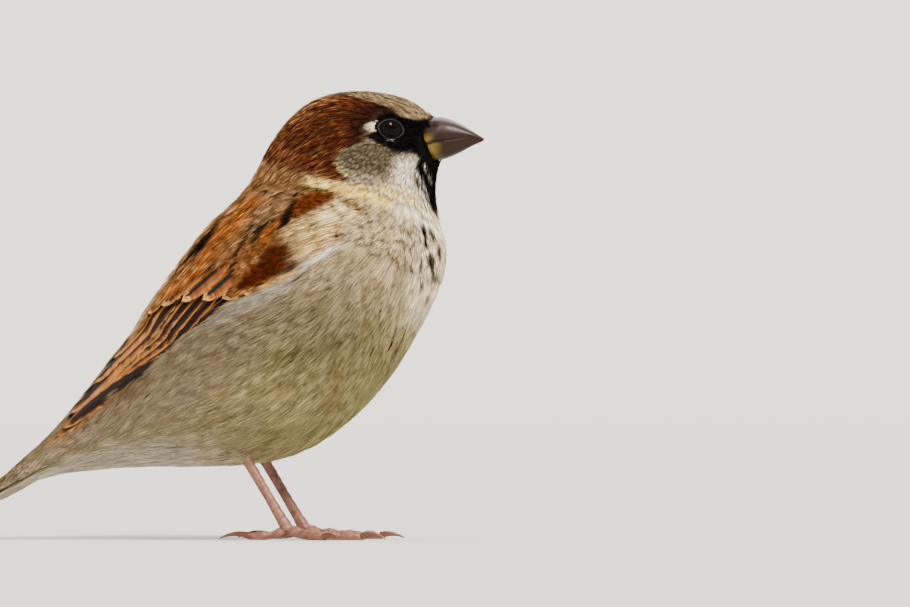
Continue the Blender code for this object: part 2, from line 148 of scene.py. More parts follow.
class SparrowColours(bpy.types.PropertyGroup):
    """Colours of the plumage, bare parts and floor."""

    crown: colour("Crown", "Olive grey of the forehead and crown", "8c7558")
    nape_line: colour("Nape line", "Grey brown down the middle of the nape", "69553c")
    chestnut: colour("Chestnut", "Band from the eye round to the nape", "50240f")
    # Painted light on the top of the chestnut band, where light falls on it.
    chestnut_light: colour("Light of the chestnut", "Lit top of the chestnut", "5e2c15")
    # Painted shade over the lower middle of the chestnut band, by the side of the neck.
    chestnut_deep: colour("Deep of the chestnut", "Chestnut over the side of the neck", "451d0b")
    chestnut_dark: colour("Dark chestnut", "Dark brown round the eye", "2a130b")
    chestnut_fringe: colour("Chestnut fringe", "Buff tips of the chestnut band", "f0b676")
    hindneck: colour("Hindneck", "Brown above the mantle", "825b36")
    collar: colour("Collar", "Cream collar under the cheek", "ffd87c")
    collar_front: colour("Collar front", "Whitish front of the collar", "fff0cc")
    collar_shade: colour("Collar shade", "Olive shade under the collar", "8f7240")
    cheek: colour("Cheek", "Grey brown of the ear coverts", "665b48")
    cheek_low: colour("Lower cheek", "Paler grey of the cheek's lower edge", "aa9d84")
    cheek_front: colour("Cheek front", "Whitish front of the cheek", "f6e8d0")
    mask: colour("Mask", "Black of the lores, eye stripe and bib", "040404")
    bib_fringe: colour("Bib fringe", "Whitish fringes over the bib", "ece2d0")
    eye_spot: colour("Eye spot", "Pale spot behind the eye", "f0e2c6")
    ear_patch: colour("Ear patch", "Cream notch behind the ear coverts", "c5b07d")
    breast: colour("Breast", "Buff grey of the breast", "c8b591")
    # Whitish feathers down the breast's front, with painted light of the lit rim there.
    breast_front: colour("Breast front", "Whitish edge down the breast's front", "e4d3b3")
    breast_spot: colour("Breast spot", "Black spots under the bib", "050505")
    belly: colour("Belly", "Olive buff of the lower belly", "8b8257")
    buff: colour("Buff", "Warm buff clouds over the breast", "7d5f2e")
    flank_grey: colour("Flank grey", "Grey of the flanks under the wing", "877464")
    fan_light: colour("Light of the fan", "Whitish upper feathers of the fan", "ecd2a0")
    collar_gold: colour("Gold of the collar", "Golden upper edge of the collar in front", "f8dc9c")
    breast_warm: colour("Warm of the breast", "Buff grey over the breast's side", "a8946c")
    flank_light: colour("Light of the flank", "Pale feathers along the wing's lower edge", "ab9e8c")
    flank_fan: colour("Flank fan", "Pale fan over the wing's bend", "d8b279")
    vent: colour("Vent", "Pale grey under the tail", "c0b39e")
    # Painted shade in partings between the feathers.
    parting: colour("Parting", "Dark parting in the belly's feathers", "3a2807")
    rump: colour("Rump", "Grey brown rump and upper tail coverts", "6e5c43")
    mantle: colour("Mantle", "Orange brown of the mantle", "7d4e29")
    mantle_orange: colour("Mantle orange", "Bright orange streaks of the mantle", "9e541b")
    mantle_buff: colour("Mantle buff", "Buff fringes of the mantle", "c5935c")
    mantle_brown: colour("Mantle brown", "Brown streaks of the mantle", "5c3414")
    mantle_grey: colour("Mantle grey", "Grey brown of the upper mantle", "816042")
    # Pale buff braces along the back, placed partly as painted light on the back's lit rim.
    mantle_rim: colour("Mantle rim", "Pale line along the back", "dcb47c")
    streak: colour("Streak", "Black streaks of the mantle and wing", "050505")
    shoulder: colour("Shoulder", "Chestnut of the wing's bend", "602d0d")
    lesser: colour("Lesser coverts", "Deep chestnut of the lesser coverts", "4a1b03")
    wing_bar: colour("Wing bar", "White tips of the median coverts", "f6eedf")
    covert: colour("Coverts", "Orange brown webs of the greater coverts", "7c4211")
    covert_front: colour("Front coverts", "Chestnut webs of the foremost coverts", "692e04")
    covert_tip: colour("Covert tips", "Pale tips of the greater coverts", "cf9853")
    flight: colour("Flight feathers", "Dark brown of the wing's long feathers", "190a04")
    flight_edge: colour("Flight edges", "Buff brown outer edges of the long feathers", "a36731")
    tail: colour("Tail", "Dark brown of the tail", "312114")
    tail_edge: colour("Tail edges", "Buff edges of the tail feathers", "5c432a")
    bill_upper: colour("Upper bill", "Grey brown of the upper bill", "24140d")
    # Painted highlight along the bill's ridge.
    culmen: colour("Culmen", "Paler ridge of the bill", "8a8086")
    bill_lower: colour("Lower bill", "Brown horn of the lower bill", "231403")
    gape: colour("Gape", "Yellow at the bill's base", "786224")
    bill_tip: colour("Bill tip", "Red brown tip of the bill", "2c1208")
    eye: colour("Eye", "Near black of the eye", "020202")
    iris: colour("Iris", "Dark brown iris", "0e0705")
    lid: colour("Lids", "Dark skin of the lids", "040404")
    lid_rim: colour("Lid rims", "Grey rims of the lids", "544f4a")
    leg: colour("Legs", "Pinkish brown of the legs", "835647")
    leg_shade: colour("Leg shade", "Darker scales of the legs", "533125")
    sole: colour("Soles", "Paler pads under the toes", "a77e6a")
    claw: colour("Claws", "Reddish brown of the claws", "5d301b")
    claw_tip: colour("Claw tips", "Dark tips of the claws", "220a04")
    floor: colour("Floor", "Pale paper that the bird stands on", "cdcdcb")


def hue(name):
    return np.array(getattr(bpy.context.scene.sparrow_colours, name))


def setting(name):
    return getattr(bpy.context.scene.sparrow_sizes, name)


def size(name):
    """A length of the sizes, in millimetres."""
    return setting(name) / MM


# ---- Sums and shapes ----


def to_frame(points):
    """Millimetres of the bird's frame to metres of the model's."""
    return (np.asarray(points, float) + (BIRD_X, 0.0, 0.0)) * MM


def unit(vectors):
    return vectors / np.maximum(np.linalg.norm(vectors, axis=-1, keepdims=True), 1e-9)


def smooth(low, high, value):
    """0 at low, 1 at high and an even S between."""
    t = np.clip((value - low) / (high - low), 0.0, 1.0)
    return t * t * (3 - 2 * t)


def curve_at(rows, at):
    """A smooth curve through evenly numbered rows, read at fractional numbers."""
    rows = np.asarray(rows, float)
    last = len(rows) - 1
    i = np.clip(np.floor(at).astype(int), 0, last - 1)
    t = (np.asarray(at) - i)[..., None]
    before, start, end, after = (rows[np.clip(i + k, 0, last)] for k in (-1, 0, 1, 2))
    bend = 2 * before - 5 * start + 4 * end - after + t * (3 * (start - end) + after - before)
    return start + 0.5 * t * (end - before + t * bend)


def mixed(below, above, share):
    return below + (above - below) * np.asarray(share)[..., None]


def washed(colours, *washes):
    """Lays named colours over others in turn, each with its share at every point."""
    for name, share in washes:
        colours = mixed(colours, hue(name), share)
    return colours


def bell(value, middle, spread):
    """1 at the middle, falling off evenly to both sides."""
    return np.exp(-(((value - middle) / spread) ** 2))


def turns(count):
    """Even angles once round, in radians."""
    return np.linspace(0, 2 * math.pi, count, endpoint=False)


def mottle(points, patch, seed):
    """Soft patches from about -1 to 1, of that size in millimetres."""
    draw = np.random.default_rng(seed)
    total = np.zeros(len(points))
    for _ in range(6):
        wave = unit(draw.normal(size=3)) * draw.uniform(0.7, 1.5) * 2 * math.pi / patch
        total += np.sin(points @ wave + draw.uniform(0, 2 * math.pi))
    return total / 2.4


def flat_normals(corners):
    """Normals of triangles from their corners, as long as twice their areas."""
    return np.cross(corners[:, 1] - corners[:, 0], corners[:, 2] - corners[:, 0])


def normals_of(points, triangles):
    """Smooth outward normals at the points of a closed mesh of triangles."""
    across = flat_normals(points[triangles])
    total = np.zeros_like(points)
    for k in range(3):
        for axis in range(3):
            total[:, axis] += np.bincount(triangles[:, k], across[:, axis], len(points))
    return unit(total)


class Surface:
    """A closed surface that tells its nearest point to a place, and which way is out there."""

    def __init__(self, points, triangles, normals=None):
        self.points, self.triangles = points, triangles
        self.normals = normals_of(points, triangles) if normals is None else normals
        self.tree = BVHTree.FromPolygons(points.tolist(), triangles.tolist())

    def out_at(self, spots, faces):
        """Smooth normals at spots on the given triangles."""
        a, b, c = (self.points[self.triangles[faces, k]] for k in range(3))
        whole = np.cross(b - a, c - a)
        area = np.maximum((whole**2).sum(-1), 1e-12)
        share_b = (np.cross(spots - a, c - a) * whole).sum(-1) / area
        share_c = (np.cross(b - a, spots - a) * whole).sum(-1) / area
        shares = np.stack([1 - share_b - share_c, share_b, share_c], -1).clip(0, 1)
        return unit((self.normals[self.triangles[faces]] * shares[..., None]).sum(1))

    def nearest(self, places):
        """Nearest points of the surface and the normals there."""
        flat = places.reshape(-1, 3)
        found = np.array([(*hit[0], hit[2]) for hit in map(self.tree.find_nearest, flat.tolist())])
        spots, faces = found[:, :3], found[:, 3].astype(int)
        return spots.reshape(places.shape), self.out_at(spots, faces).reshape(places.shape)

    def cast(self, starts, headings):
        """Where rays first meet the surface, and the normals there."""
        found = []
        for start, heading in zip(starts.tolist(), headings.tolist()):
            spot, _, face, _ = self.tree.ray_cast(start, heading)
            if spot is None:
                raise RuntimeError(f"no surface ahead of {start}")
            found.append((*spot, face))
        found = np.array(found)
        return found[:, :3], self.out_at(found[:, :3], found[:, 3].astype(int))


def cut_at(station):
    """Middle, up direction, half depth and half width of the body's cut at a station."""
    row = curve_at(BODY_CUTS, station)
    upper, lower = row[..., 0:2], row[..., 2:4]
    rise = (upper - lower) / 2
    depth = np.linalg.norm(rise, axis=-1)
    return (upper + lower) / 2, rise / depth[..., None], depth, row[..., 4]


FINE_STATIONS = np.linspace(0, len(BODY_CUTS) - 1, (len(BODY_CUTS) - 1) * CUTS_BETWEEN + 1)


def chart(points):
    """The station and the angle of points on or near the body."""
    middle, up, depth, half_width = cut_at(FINE_STATIONS)
    across = np.stack([up[:, 1], -up[:, 0]], -1)
    stations, angles = np.empty(len(points)), np.empty(len(points))
    batch = 20000
    for start in range(0, len(points), batch):
        part = points[start : start + batch]
        apart = part[:, None, [0, 2]] - middle[None]
        off = np.abs((apart * across).sum(-1))
        beyond = np.maximum(np.abs((apart * up).sum(-1)) - 1.1 * depth, 0)
        best = (off + 2 * beyond).argmin(1)
        high = (apart[np.arange(len(part)), best] * up[best]).sum(-1) / depth[best]
        wide = np.abs(part[:, 1]) / half_width[best]
        stations[start : start + batch] = FINE_STATIONS[best]
        angles[start : start + batch] = np.degrees(np.arctan2(wide, high))
    return stations, angles


FAR_OUT = 2.2  # how many times as far from the body's middle as its outside


def outside_of(stations, angles, side):
    """Points well outside the body at stations and angles on one side, and the headings back in."""
    middle, up, depth, half_width = cut_at(stations)
    turn = np.radians(angles)
    high, wide = np.cos(turn) * depth * FAR_OUT, side * np.sin(turn) * half_width * FAR_OUT
    offset = np.stack([up[:, 0] * high, wide, up[:, 1] * high], -1)
    centre = np.stack([middle[:, 0], np.zeros(len(middle)), middle[:, 1]], -1)
    return centre + offset, unit(-offset)


# ---- Meshes ----


def in_scene(name, data):
    """A new object of the scene with this data."""
    obj = bpy.data.objects.new(name, data)
    bpy.context.scene.collection.objects.link(obj)
    return obj


def bare_mesh(name, points, faces):
    """A mesh from points and from arrays of triangles or quads, in the units that they are in."""
    mesh = bpy.data.meshes.new(name)
    corners = np.concatenate([part.ravel() for part in faces]).astype(np.int32)
    sizes = np.concatenate([np.full(len(part), part.shape[1]) for part in faces])
    starts = np.concatenate([[0], np.cumsum(sizes)[:-1]]).astype(np.int32)
    mesh.vertices.add(len(points))
    mesh.vertices.foreach_set("co", np.asarray(points, np.float32).ravel())
    mesh.loops.add(len(corners))
    mesh.loops.foreach_set("vertex_index", corners)
    mesh.polygons.add(len(sizes))
    mesh.polygons.foreach_set("loop_start", starts)
    mesh.update(calc_edges=True)
    mesh.shade_smooth()
    return mesh


def piece(name, points, faces, finish, replaced=(), *, tints, patches=None, ridges=None):
    """An object of the bird, in place, with its finish.

    tints are colours at its points, patches its points' places on the unwrap, and ridges a count along a
    feather that its finish draws barbs from."""
    mesh = bare_mesh(name, to_frame(points), faces)
    mesh.materials.append(finish)
    layer = mesh.color_attributes.new("tint", "FLOAT_COLOR", "POINT")
    rows = np.column_stack([np.clip(tints, 0, 1), np.ones(len(tints))])
    layer.data.foreach_set("color", rows.astype(np.float32).ravel())
    if ridges is not None:
        layer = mesh.attributes.new("ridge", "FLOAT", "POINT")
        layer.data.foreach_set("value", ridges.astype(np.float32))
    if patches is not None:
        corners = np.empty(len(mesh.loops), np.int32)
        mesh.loops.foreach_get("vertex_index", corners)
        layer = mesh.uv_layers.new(name="OFBake")
        layer.uv.foreach_set("vector", patches[corners].astype(np.float32).ravel())
    obj = in_scene(name, mesh)
    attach(obj, "root")
    if replaced:
        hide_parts(*replaced)
    return obj


def points_and_triangles(mesh):
    mesh.calc_loop_triangles()
    points = np.empty(len(mesh.vertices) * 3, np.float32)
    mesh.vertices.foreach_get("co", points)
    triangles = np.empty(len(mesh.loop_triangles) * 3, np.int32)
    mesh.loop_triangles.foreach_get("vertices", triangles)
    return points.reshape(-1, 3).astype(float), triangles.reshape(-1, 3)


def node_shape(name):
    """Points of a solid in the bird's frame, each once, and its triangles."""
    points, triangles = points_and_triangles(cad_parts[name].data)
    points = points / MM - (BIRD_X, 0, 0)
    _, first, same = np.unique(np.round(points, 3), axis=0, return_index=True, return_inverse=True)
    return points[first], same.reshape(-1)[triangles]


def tail_height(x):
    """Height of the tail's middle line at distances ahead."""
    return TAIL_ROOT[1] + (x - TAIL_ROOT[0]) * math.tan(TAIL_SLOPE)


def covert_padding():
    """What lies under the tail coverts: a dome from the rump's end down to the tail's top."""
    turn = turns(24)
    underside = -0.05  # how far it bulges down, as a share of its height
    rings = []
    for x, top, half_width in COVERT_PADDING:
        base = tail_height(x) - 0.3
        high = base + (top - base) * np.maximum(np.sin(turn), underside)
        rings.append(np.stack([np.full(len(turn), x), half_width * np.cos(turn), high], -1))
    return tube_shape(np.array(rings))


def fused(nodes, voxel, grow, evening, more=()):
    """One closed surface round several solids: grown a little to close the cuts, fused and evened."""
    shapes = [(points, [triangles]) for points, triangles in map(node_shape, nodes)]
    points, faces = joined([*shapes, *more])
    mesh = bare_mesh("fusing", points, faces)
    obj = in_scene("fusing", mesh)
    swell = obj.modifiers.new("grow", "DISPLACE")
    swell.strength, swell.mid_level = grow, 0.0
    remesh = obj.modifiers.new("fuse", "REMESH")
    remesh.mode, remesh.voxel_size = "VOXEL", voxel
    even = obj.modifiers.new("even", "SMOOTH")
    even.factor, even.iterations = 0.5, evening
    ready = obj.evaluated_get(bpy.context.evaluated_depsgraph_get())
    result = bpy.data.meshes.new_from_object(ready)
    points, triangles = points_and_triangles(result)
    bpy.data.objects.remove(obj)
    for used in (mesh, result):
        bpy.data.meshes.remove(used)
    normals = normals_of(points, triangles)
    return Surface(points - normals * grow, triangles, normals)


def grid_faces(rows, columns, closed=False):
    """Quads over a grid of points in rows, closed round the columns if it is a tube."""
    across = columns if closed else columns - 1
    r, c = np.meshgrid(np.arange(rows - 1), np.arange(across), indexing="ij")
    following = (c + 1) % columns
    below, above = r * columns, (r + 1) * columns
    return np.stack((below + c, below + following, above + following, above + c), -1).reshape(-1, 4)


def tube_shape(rings):
    """A closed tube over rings of points (rows, sides, 3), with a point at the middle of each end."""
    rows, sides = rings.shape[:2]
    points = np.concatenate([rings.reshape(-1, 3), rings[0].mean(0)[None], rings[-1].mean(0)[None]])
    near, far = rows * sides, rows * sides + 1
    i = np.arange(sides)
    following = (i + 1) % sides
    start = np.stack([np.full(sides, near), following, i], -1)
    last = (rows - 1) * sides
    end = np.stack([np.full(sides, far), last + i, last + following], -1)
    return points, [grid_faces(rows, sides, closed=True), np.concatenate([start, end])]


def joined(shapes):
    """Several (points, faces) as one."""
    points, quads, triangles, total = [], [], [], 0
    for own_points, faces in shapes:
        points.append(own_points)
        for part in faces:
            (quads if part.shape[1] == 4 else triangles).append(part + total)
        total += len(own_points)
    return np.concatenate(points), [np.concatenate(part) for part in (quads, triangles) if part]


# ---- Finishes ----


def noise_height(material, patch):
    """A noise over a piece, of patches of that size in millimetres."""
    tree = material.node_tree
    place = tree.nodes.new("ShaderNodeTexCoord")
    noise = tree.nodes.new("ShaderNodeTexNoise")
    noise.inputs["Scale"].default_value = 1 / (patch * MM)
    noise.inputs["Detail"].default_value = 3.0
    tree.links.new(place.outputs["Object"], noise.inputs["Vector"])
    return noise.outputs["Fac"]


def between(tree, noise, low, high):
    """A value between low and high, from a noise's usual range."""
    spread = tree.nodes.new("ShaderNodeMapRange")
    for name, number in zip(("From Min", "From Max", "To Min", "To Max"), (0.3, 0.7, low, high)):
        spread.inputs[name].default_value = number
    tree.links.new(noise, spread.inputs["Value"])
    return spread.outputs["Result"]


def attribute(tree, name):
    """A node that reads a value stored at the piece's points."""
    node = tree.nodes.new("ShaderNodeAttribute")
    node.attribute_name = name
    return node


def flecked_finish(name, roughness, specular, fleck_size, least, most):
    """A finish with flecks, from least to most as light as its colour, and the colour's socket."""
    made = bpy.data.materials.new(name)
    made.use_nodes = True
    tree = made.node_tree
    shader = tree.nodes["Principled BSDF"]
    shader.inputs["Roughness"].default_value = roughness
    shader.inputs["Specular IOR Level"].default_value = specular
    flecked = tree.nodes.new("ShaderNodeVectorMath")
    flecked.operation = "SCALE"
    flecks = between(tree, noise_height(made, fleck_size), least, most)
    tree.links.new(flecks, flecked.inputs["Scale"])
    tree.links.new(flecked.outputs["Vector"], shader.inputs["Base Color"])
    return made, flecked.inputs[0]


def tinted_finish(name, roughness, specular, fleck, fleck_size, gloss=0.0):
    """A finish that takes its colour from a piece's tints, with fine flecks."""
    made, colour_socket = flecked_finish(name, roughness, specular, fleck_size, 1 - fleck, 1 + fleck)
    tree = made.node_tree
    tree.links.new(attribute(tree, "tint").outputs["Color"], colour_socket)
    shader = tree.nodes["Principled BSDF"]
    shader.inputs["Coat Weight"].default_value = gloss
    shader.inputs["Coat Roughness"].default_value = 0.05
    return made


def add_bump(material, height, rise, strength):
    """A bump on a finish, from a node's output, that rises so many millimetres."""
    tree = material.node_tree
    bump = tree.nodes.new("ShaderNodeBump")
    bump.inputs["Distance"].default_value = rise * MM
    bump.inputs["Strength"].default_value = strength
    tree.links.new(height, bump.inputs["Height"])
    tree.links.new(bump.outputs["Normal"], tree.nodes["Principled BSDF"].inputs["Normal"])


@functools.cache
def down_finish():
    """Loose barbs: matt, softly lit, with fine barbules."""
    made = tinted_finish("loose_barbs", roughness=0.85, specular=0.05, fleck=0.10, fleck_size=0.35)
    add_bump(made, noise_height(made, patch=0.12), rise=0.02, strength=0.5)
    return made


@functools.cache
def vane_finish():
    """A knit vane: barbs as fine slanted ridges counted along the shaft."""
    made = tinted_finish("knit_vanes", roughness=0.6, specular=0.12, fleck=0.12, fleck_size=0.4)
    tree = made.node_tree
    wave = tree.nodes.new("ShaderNodeMath")
    wave.operation = "SINE"
    tree.links.new(attribute(tree, "ridge").outputs["Fac"], wave.inputs[0])
    add_bump(made, wave.outputs["Value"], rise=0.03, strength=0.8)
    return made


def bumpy_finish(name, roughness, specular, fleck, fleck_size, bump_size, rise, gloss=0.0):
    """A finish for skin, scales and horn, with a fine grain."""
    made = tinted_finish(name, roughness, specular, fleck, fleck_size, gloss)
    add_bump(made, noise_height(made, bump_size), rise, strength=0.8)
    return made


# ---- Markings ----

# Markings are laid out on a side view that is turned a little to the front: a place there is
# (ahead, height) in millimetres, and the bird's two sides are alike.
PROFILE_TURN = math.radians(10.0)

Patch = namedtuple("Patch", "colour soft outline")
Stroke = namedtuple("Stroke", "colour radius points")


def strokes(colour, *rows):
    """Strokes of one colour, from the radius and the points of each."""
    return [Stroke(colour, *row) for row in rows]



MASK = (
    (21.0, 82.9), (18.8, 81.3), (16.5, 80.9), (14.4, 81.4), (12.9, 81.9), (11.3, 82.3), (10.0, 81.8),
    (9.2, 80.6), (8.9, 78.8), (7.7, 78.3), (6.2, 77.6), (8.1, 76.6), (10.0, 75.7), (11.5, 74.8),
    (13.1, 74.2), (15.8, 74.3), (17.0, 73.4), (17.8, 72.0), (21.5, 71.5), (24.0, 76.0),
)
CROWN = (
    (22.5, 82.3), (18.8, 81.2), (16.9, 80.9), (14.8, 81.5), (13.1, 82.3), (11.2, 83.3), (8.8, 84.2),
    (6.2, 85.0), (3.8, 85.6), (1.0, 86.2), (-1.0, 88.5), (22.5, 88.5),
)
CHESTNUT = (
    (8.8, 84.6), (10.6, 83.3), (11.9, 82.3), (10.2, 82.1), (9.2, 81.0), (6.9, 80.6), (6.0, 79.6),
    (6.7, 78.7), (7.7, 78.3), (6.2, 77.5), (7.3, 76.6), (4.8, 75.9), (2.5, 74.9), (1.3, 73.6), (1.9, 72.0),
    (3.3, 70.8),
    (3.9, 68.8), (1.0, 68.9), (-2.3, 69.6), (-5.2, 70.4), (-7.7, 70.6), (-10.4, 71.3), (-13.1, 72.5),
    (-17.3, 75.0), (-10.4, 84.6), (-4.8, 87.5), (0.0, 88.5), (3.8, 85.8),
)
CHEEK = (
    (7.3, 76.6), (4.8, 75.9), (2.5, 74.9), (1.3, 73.6), (1.9, 72.0), (3.3, 70.8), (4.2, 69.2), (6.7, 68.5),
    (10.6, 67.3), (13.5, 66.2), (16.3, 64.8), (17.7, 64.4), (16.7, 67.3), (16.5, 70.2), (17.5, 72.5),
    (15.8, 74.4), (13.1, 74.2), (10.6, 75.4), (8.7, 76.5),
)
CHEEK_FRONT = (
    (12.9, 72.9), (14.3, 73.7), (16.3, 73.3), (17.5, 72.0), (16.5, 70.2), (16.7, 67.3), (17.3, 65.4),
    (14.4, 65.8), (12.2, 67.6), (12.3, 71.2),
)
COLLAR = (
    (-4.8, 69.6), (-3.6, 70.0), (-1.5, 69.6), (2.9, 68.5), (6.7, 67.9), (10.6, 67.0), (13.5, 66.2),
    (16.9, 64.8), (19.6, 62.7), (21.5, 60.8), (22.6, 58.1), (19.2, 60.4), (16.3, 62.1), (13.5, 63.1),
    (10.6, 63.8), (7.7, 65.0), (4.8, 65.8), (1.0, 66.7), (-2.3, 67.3), (-4.6, 67.9),
)
COLLAR_FRONT = (
    (13.6, 66.2), (15.0, 65.9), (16.9, 65.2), (19.8, 63.0), (22.0, 60.4), (23.0, 57.5), (19.2, 59.0),
    (15.5, 61.0), (12.6, 62.6), (11.5, 64.0),
)
HINDNECK = (
    (-20.2, 75.0), (-13.1, 72.5), (-10.4, 71.3), (-7.7, 70.8), (-4.6, 70.2), (-4.2, 68.0), (1.4, 67.0),
    (1.0, 66.0), (-4.0, 66.2), (-7.7, 66.8), (-11.5, 66.7), (-15.4, 66.7), (-20.2, 67.3),
)
BIB = (
    (24.0, 74.0), (24.0, 70.2), (23.0, 67.3), (22.5, 64.4), (21.6, 61.0), (19.6, 63.0), (18.4, 64.8),
    (17.5, 66.5), (16.5, 68.3), (16.1, 70.8), (16.7, 72.5), (18.1, 74.0),
)
FLANK_FAN = (
    (2.9, 64.8), (0.0, 64.4), (-3.8, 62.9), (-6.7, 60.8), (-8.5, 58.7), (-7.7, 56.7), (-5.8, 54.8),
    (-3.8, 54.8), (0.0, 57.7), (3.4, 60.2), (4.8, 63.0),
)
WING_BEND = (
    (-5.2, 62.2), (-7.6, 60.9), (-8.6, 59.4), (-8.2, 58.0), (-7.0, 56.6), (-6.7, 54.4), (-4.0, 53.6),
    (1.0, 58.0),
)
FRONT_EDGE = (
    (21.4, 59.2), (22.2, 55.8), (21.8, 50.0), (20.0, 44.2), (17.6, 40.4),
    (15.2, 42.4), (15.4, 46.2), (15.8, 51.9), (16.4, 56.7), (17.6, 59.2),
)
SHOULDER = (
    (-5.8, 66.4), (-3.5, 67.1), (0.0, 67.0), (1.8, 66.2), (-1.0, 64.4), (-3.5, 63.1), (-5.8, 61.9),
    (-7.7, 61.2), (-6.9, 63.8),
)
MANTLE = (
    (-20.2, 69.3), (-15.4, 66.9), (-11.5, 66.5), (-7.7, 67.1), (-5.8, 66.2), (-6.5, 63.8), (-7.7, 61.2),
    (-8.2, 57.6), (-10.6, 56.4), (-13.1, 54.4), (-15.0, 52.0), (-17.7, 51.6), (-22.1, 50.6), (-26.9, 48.0),
    (-31.7, 45.4), (-36.5, 43.2), (-42.0, 43.0), (-38.5, 54.0), (-30.8, 62.6),
)
LESSER = (
    (-9.0, 58.0), (-7.3, 56.6), (-6.9, 54.4), (-7.7, 52.3), (-10.6, 50.6), (-13.8, 49.2), (-16.7, 48.1),
    (-18.1, 48.6), (-16.2, 50.8), (-14.2, 52.9), (-13.1, 54.8), (-11.5, 56.6),
)
COVERT_ROOTS = (  # the small feathers above the lesser coverts
    (-9.6, 59.0), (-12.6, 58.6), (-17.2, 56.6), (-19.6, 54.4), (-16.4, 52.4), (-14.0, 53.0), (-11.4, 56.2),
)
PATCHES = (  # laid one over another, each with a soft edge
    Patch("flank_fan", 0.8, WING_BEND),
    Patch("flank_fan", 1.4, FLANK_FAN),
    Patch("fan_light", 1.0, (
        (-2.6, 62.2), (-0.4, 63.8), (3.2, 65.0), (5.2, 64.0), (5.0, 62.4), (2.0, 61.4), (-1.2, 60.6),
    )),
    # Whitish feathers and painted light along the breast's front edge.
    Patch("breast_front", 2.2, FRONT_EDGE),
    Patch("hindneck", 0.9, HINDNECK),
    Patch("collar", 0.7, COLLAR),
    Patch("collar_front", 1.2, COLLAR_FRONT),
    Patch("shoulder", 0.6, SHOULDER),
    Patch("chestnut", 0.5, CHESTNUT),
    # Painted light on the top of the chestnut band.
    Patch("chestnut_light", 1.8, (
        (-9.5, 81.0), (-6.0, 85.5), (-1.0, 88.5), (4.0, 88.5), (6.0, 86.4), (2.0, 85.4), (-3.0, 83.6),
        (-7.0, 80.0),
    )),
    # Painted shade over the lower middle of the chestnut band.
    Patch("chestnut_deep", 2.2, (
        (-7.0, 78.6), (-4.0, 80.6), (1.0, 80.8), (2.0, 77.0), (0.0, 74.2), (-4.0, 74.8), (-8.0, 76.2),
    )),
    Patch("chestnut_dark", 2.0, (
        (12.5, 83.4), (11.0, 81.5), (6.0, 77.0), (4.4, 75.6), (3.2, 75.0), (3.0, 76.4), (3.8, 80.0),
        (5.4, 82.6), (8.4, 84.0),
    )),
    Patch("cheek", 0.6, CHEEK),
    Patch("cheek_low", 1.4, (
        (3.0, 70.4), (6.0, 68.9), (10.5, 67.4), (13.6, 66.4), (14.4, 68.0), (11.0, 69.4), (6.5, 70.4),
    )),
    Patch("cheek_front", 1.8, CHEEK_FRONT),
    Patch("crown", 0.6, CROWN),
    Patch("chestnut_dark", 0.5, (
        (8.6, 83.9), (10.4, 83.6), (12.2, 82.9), (13.2, 82.2), (13.2, 80.5), (8.0, 80.5), (6.5, 81.5),
    )),
    Patch("mask", 0.35, BIB),
    Patch("mask", 0.3, MASK),
    Patch("eye_spot", 0.22, (
        (6.8, 79.6), (7.3, 80.0), (8.2, 80.4), (9.3, 80.4), (9.8, 79.6), (9.2, 78.7), (8.1, 78.6),
        (7.0, 79.0),
    )),
    Patch("ear_patch", 0.25, ((0.9, 72.3), (1.6, 72.4), (3.8, 70.2), (3.2, 69.6), (1.9, 70.9))),
    Patch("streak", 0.3, ((-9.6, 51.4), (-7.6, 53.7), (-5.6, 53.5), (-6.2, 52.2), (-8.8, 50.8))),
)
STROKES = (  # streaks over the patches
    # Painted shade in a parting under the collar.
    Stroke("parting", 0.3, ((-6.5, 67.8), (-2.5, 67.5), (1.6, 66.7))),
    Stroke("collar_gold", 1.1, ((8.0, 67.5), (13.0, 66.7), (17.0, 65.4))),
    Stroke("collar_shade", 0.8, ((2.4, 65.2), (4.4, 64.4), (6.6, 63.3))),
    Stroke("flank_light", 1.3, ((-7.0, 49.4), (-12.0, 47.0), (-18.0, 44.2), (-23.0, 41.2))),
    Stroke("wing_bar", 0.62, ((1.0, 56.1), (-1.9, 54.6), (-5.4, 51.9))),
    Stroke("covert_tip", 0.34, ((-5.4, 52.2), (-8.4, 50.9), (-11.4, 49.4), (-15.4, 47.9), (-18.4, 47.2))),
    *strokes(
        "bib_fringe",
        (0.09, ((10.7, 77.4), (11.4, 76.9))), (0.08, ((11.9, 77.0), (12.3, 76.7))),
        (0.17, ((16.3, 71.0), (17.7, 68.5), (19.0, 66.0))),
        (0.12, ((18.0, 72.1), (19.1, 69.6), (20.3, 66.9))),
        (0.17, ((17.1, 68.1), (18.4, 65.4), (19.6, 63.5))),
    ),
    *strokes(
        "breast_spot",
        (0.5, ((17.9, 60.6), (18.5, 57.5))), (0.6, ((19.2, 59.6), (20.2, 57.6))),
        (0.55, ((21.0, 56.2), (21.3, 53.9))), (0.55, ((18.3, 57.1), (18.7, 56.0))),
        (0.7, ((19.2, 54.8), (19.8, 51.5))), (0.45, ((17.5, 53.3), (17.5, 51.5))),
        (0.5, ((20.0, 51.2), (20.0, 49.4))), (0.45, ((19.9, 54.2), (19.8, 52.8))),
        (0.45, ((20.9, 50.6), (20.3, 49.0))), (0.4, ((18.9, 47.0), (18.5, 45.6))),
    ),
    # Painted shade in partings of the breast's feathers.
    *strokes(
        "parting",
        (0.32, ((17.7, 49.6), (17.5, 47.5))), (0.25, ((11.9, 60.2), (11.3, 59.0))),
        (0.25, ((16.0, 56.7), (15.2, 55.4))), (0.2, ((14.6, 40.2), (13.5, 37.5), (11.9, 34.8))),
    ),
)
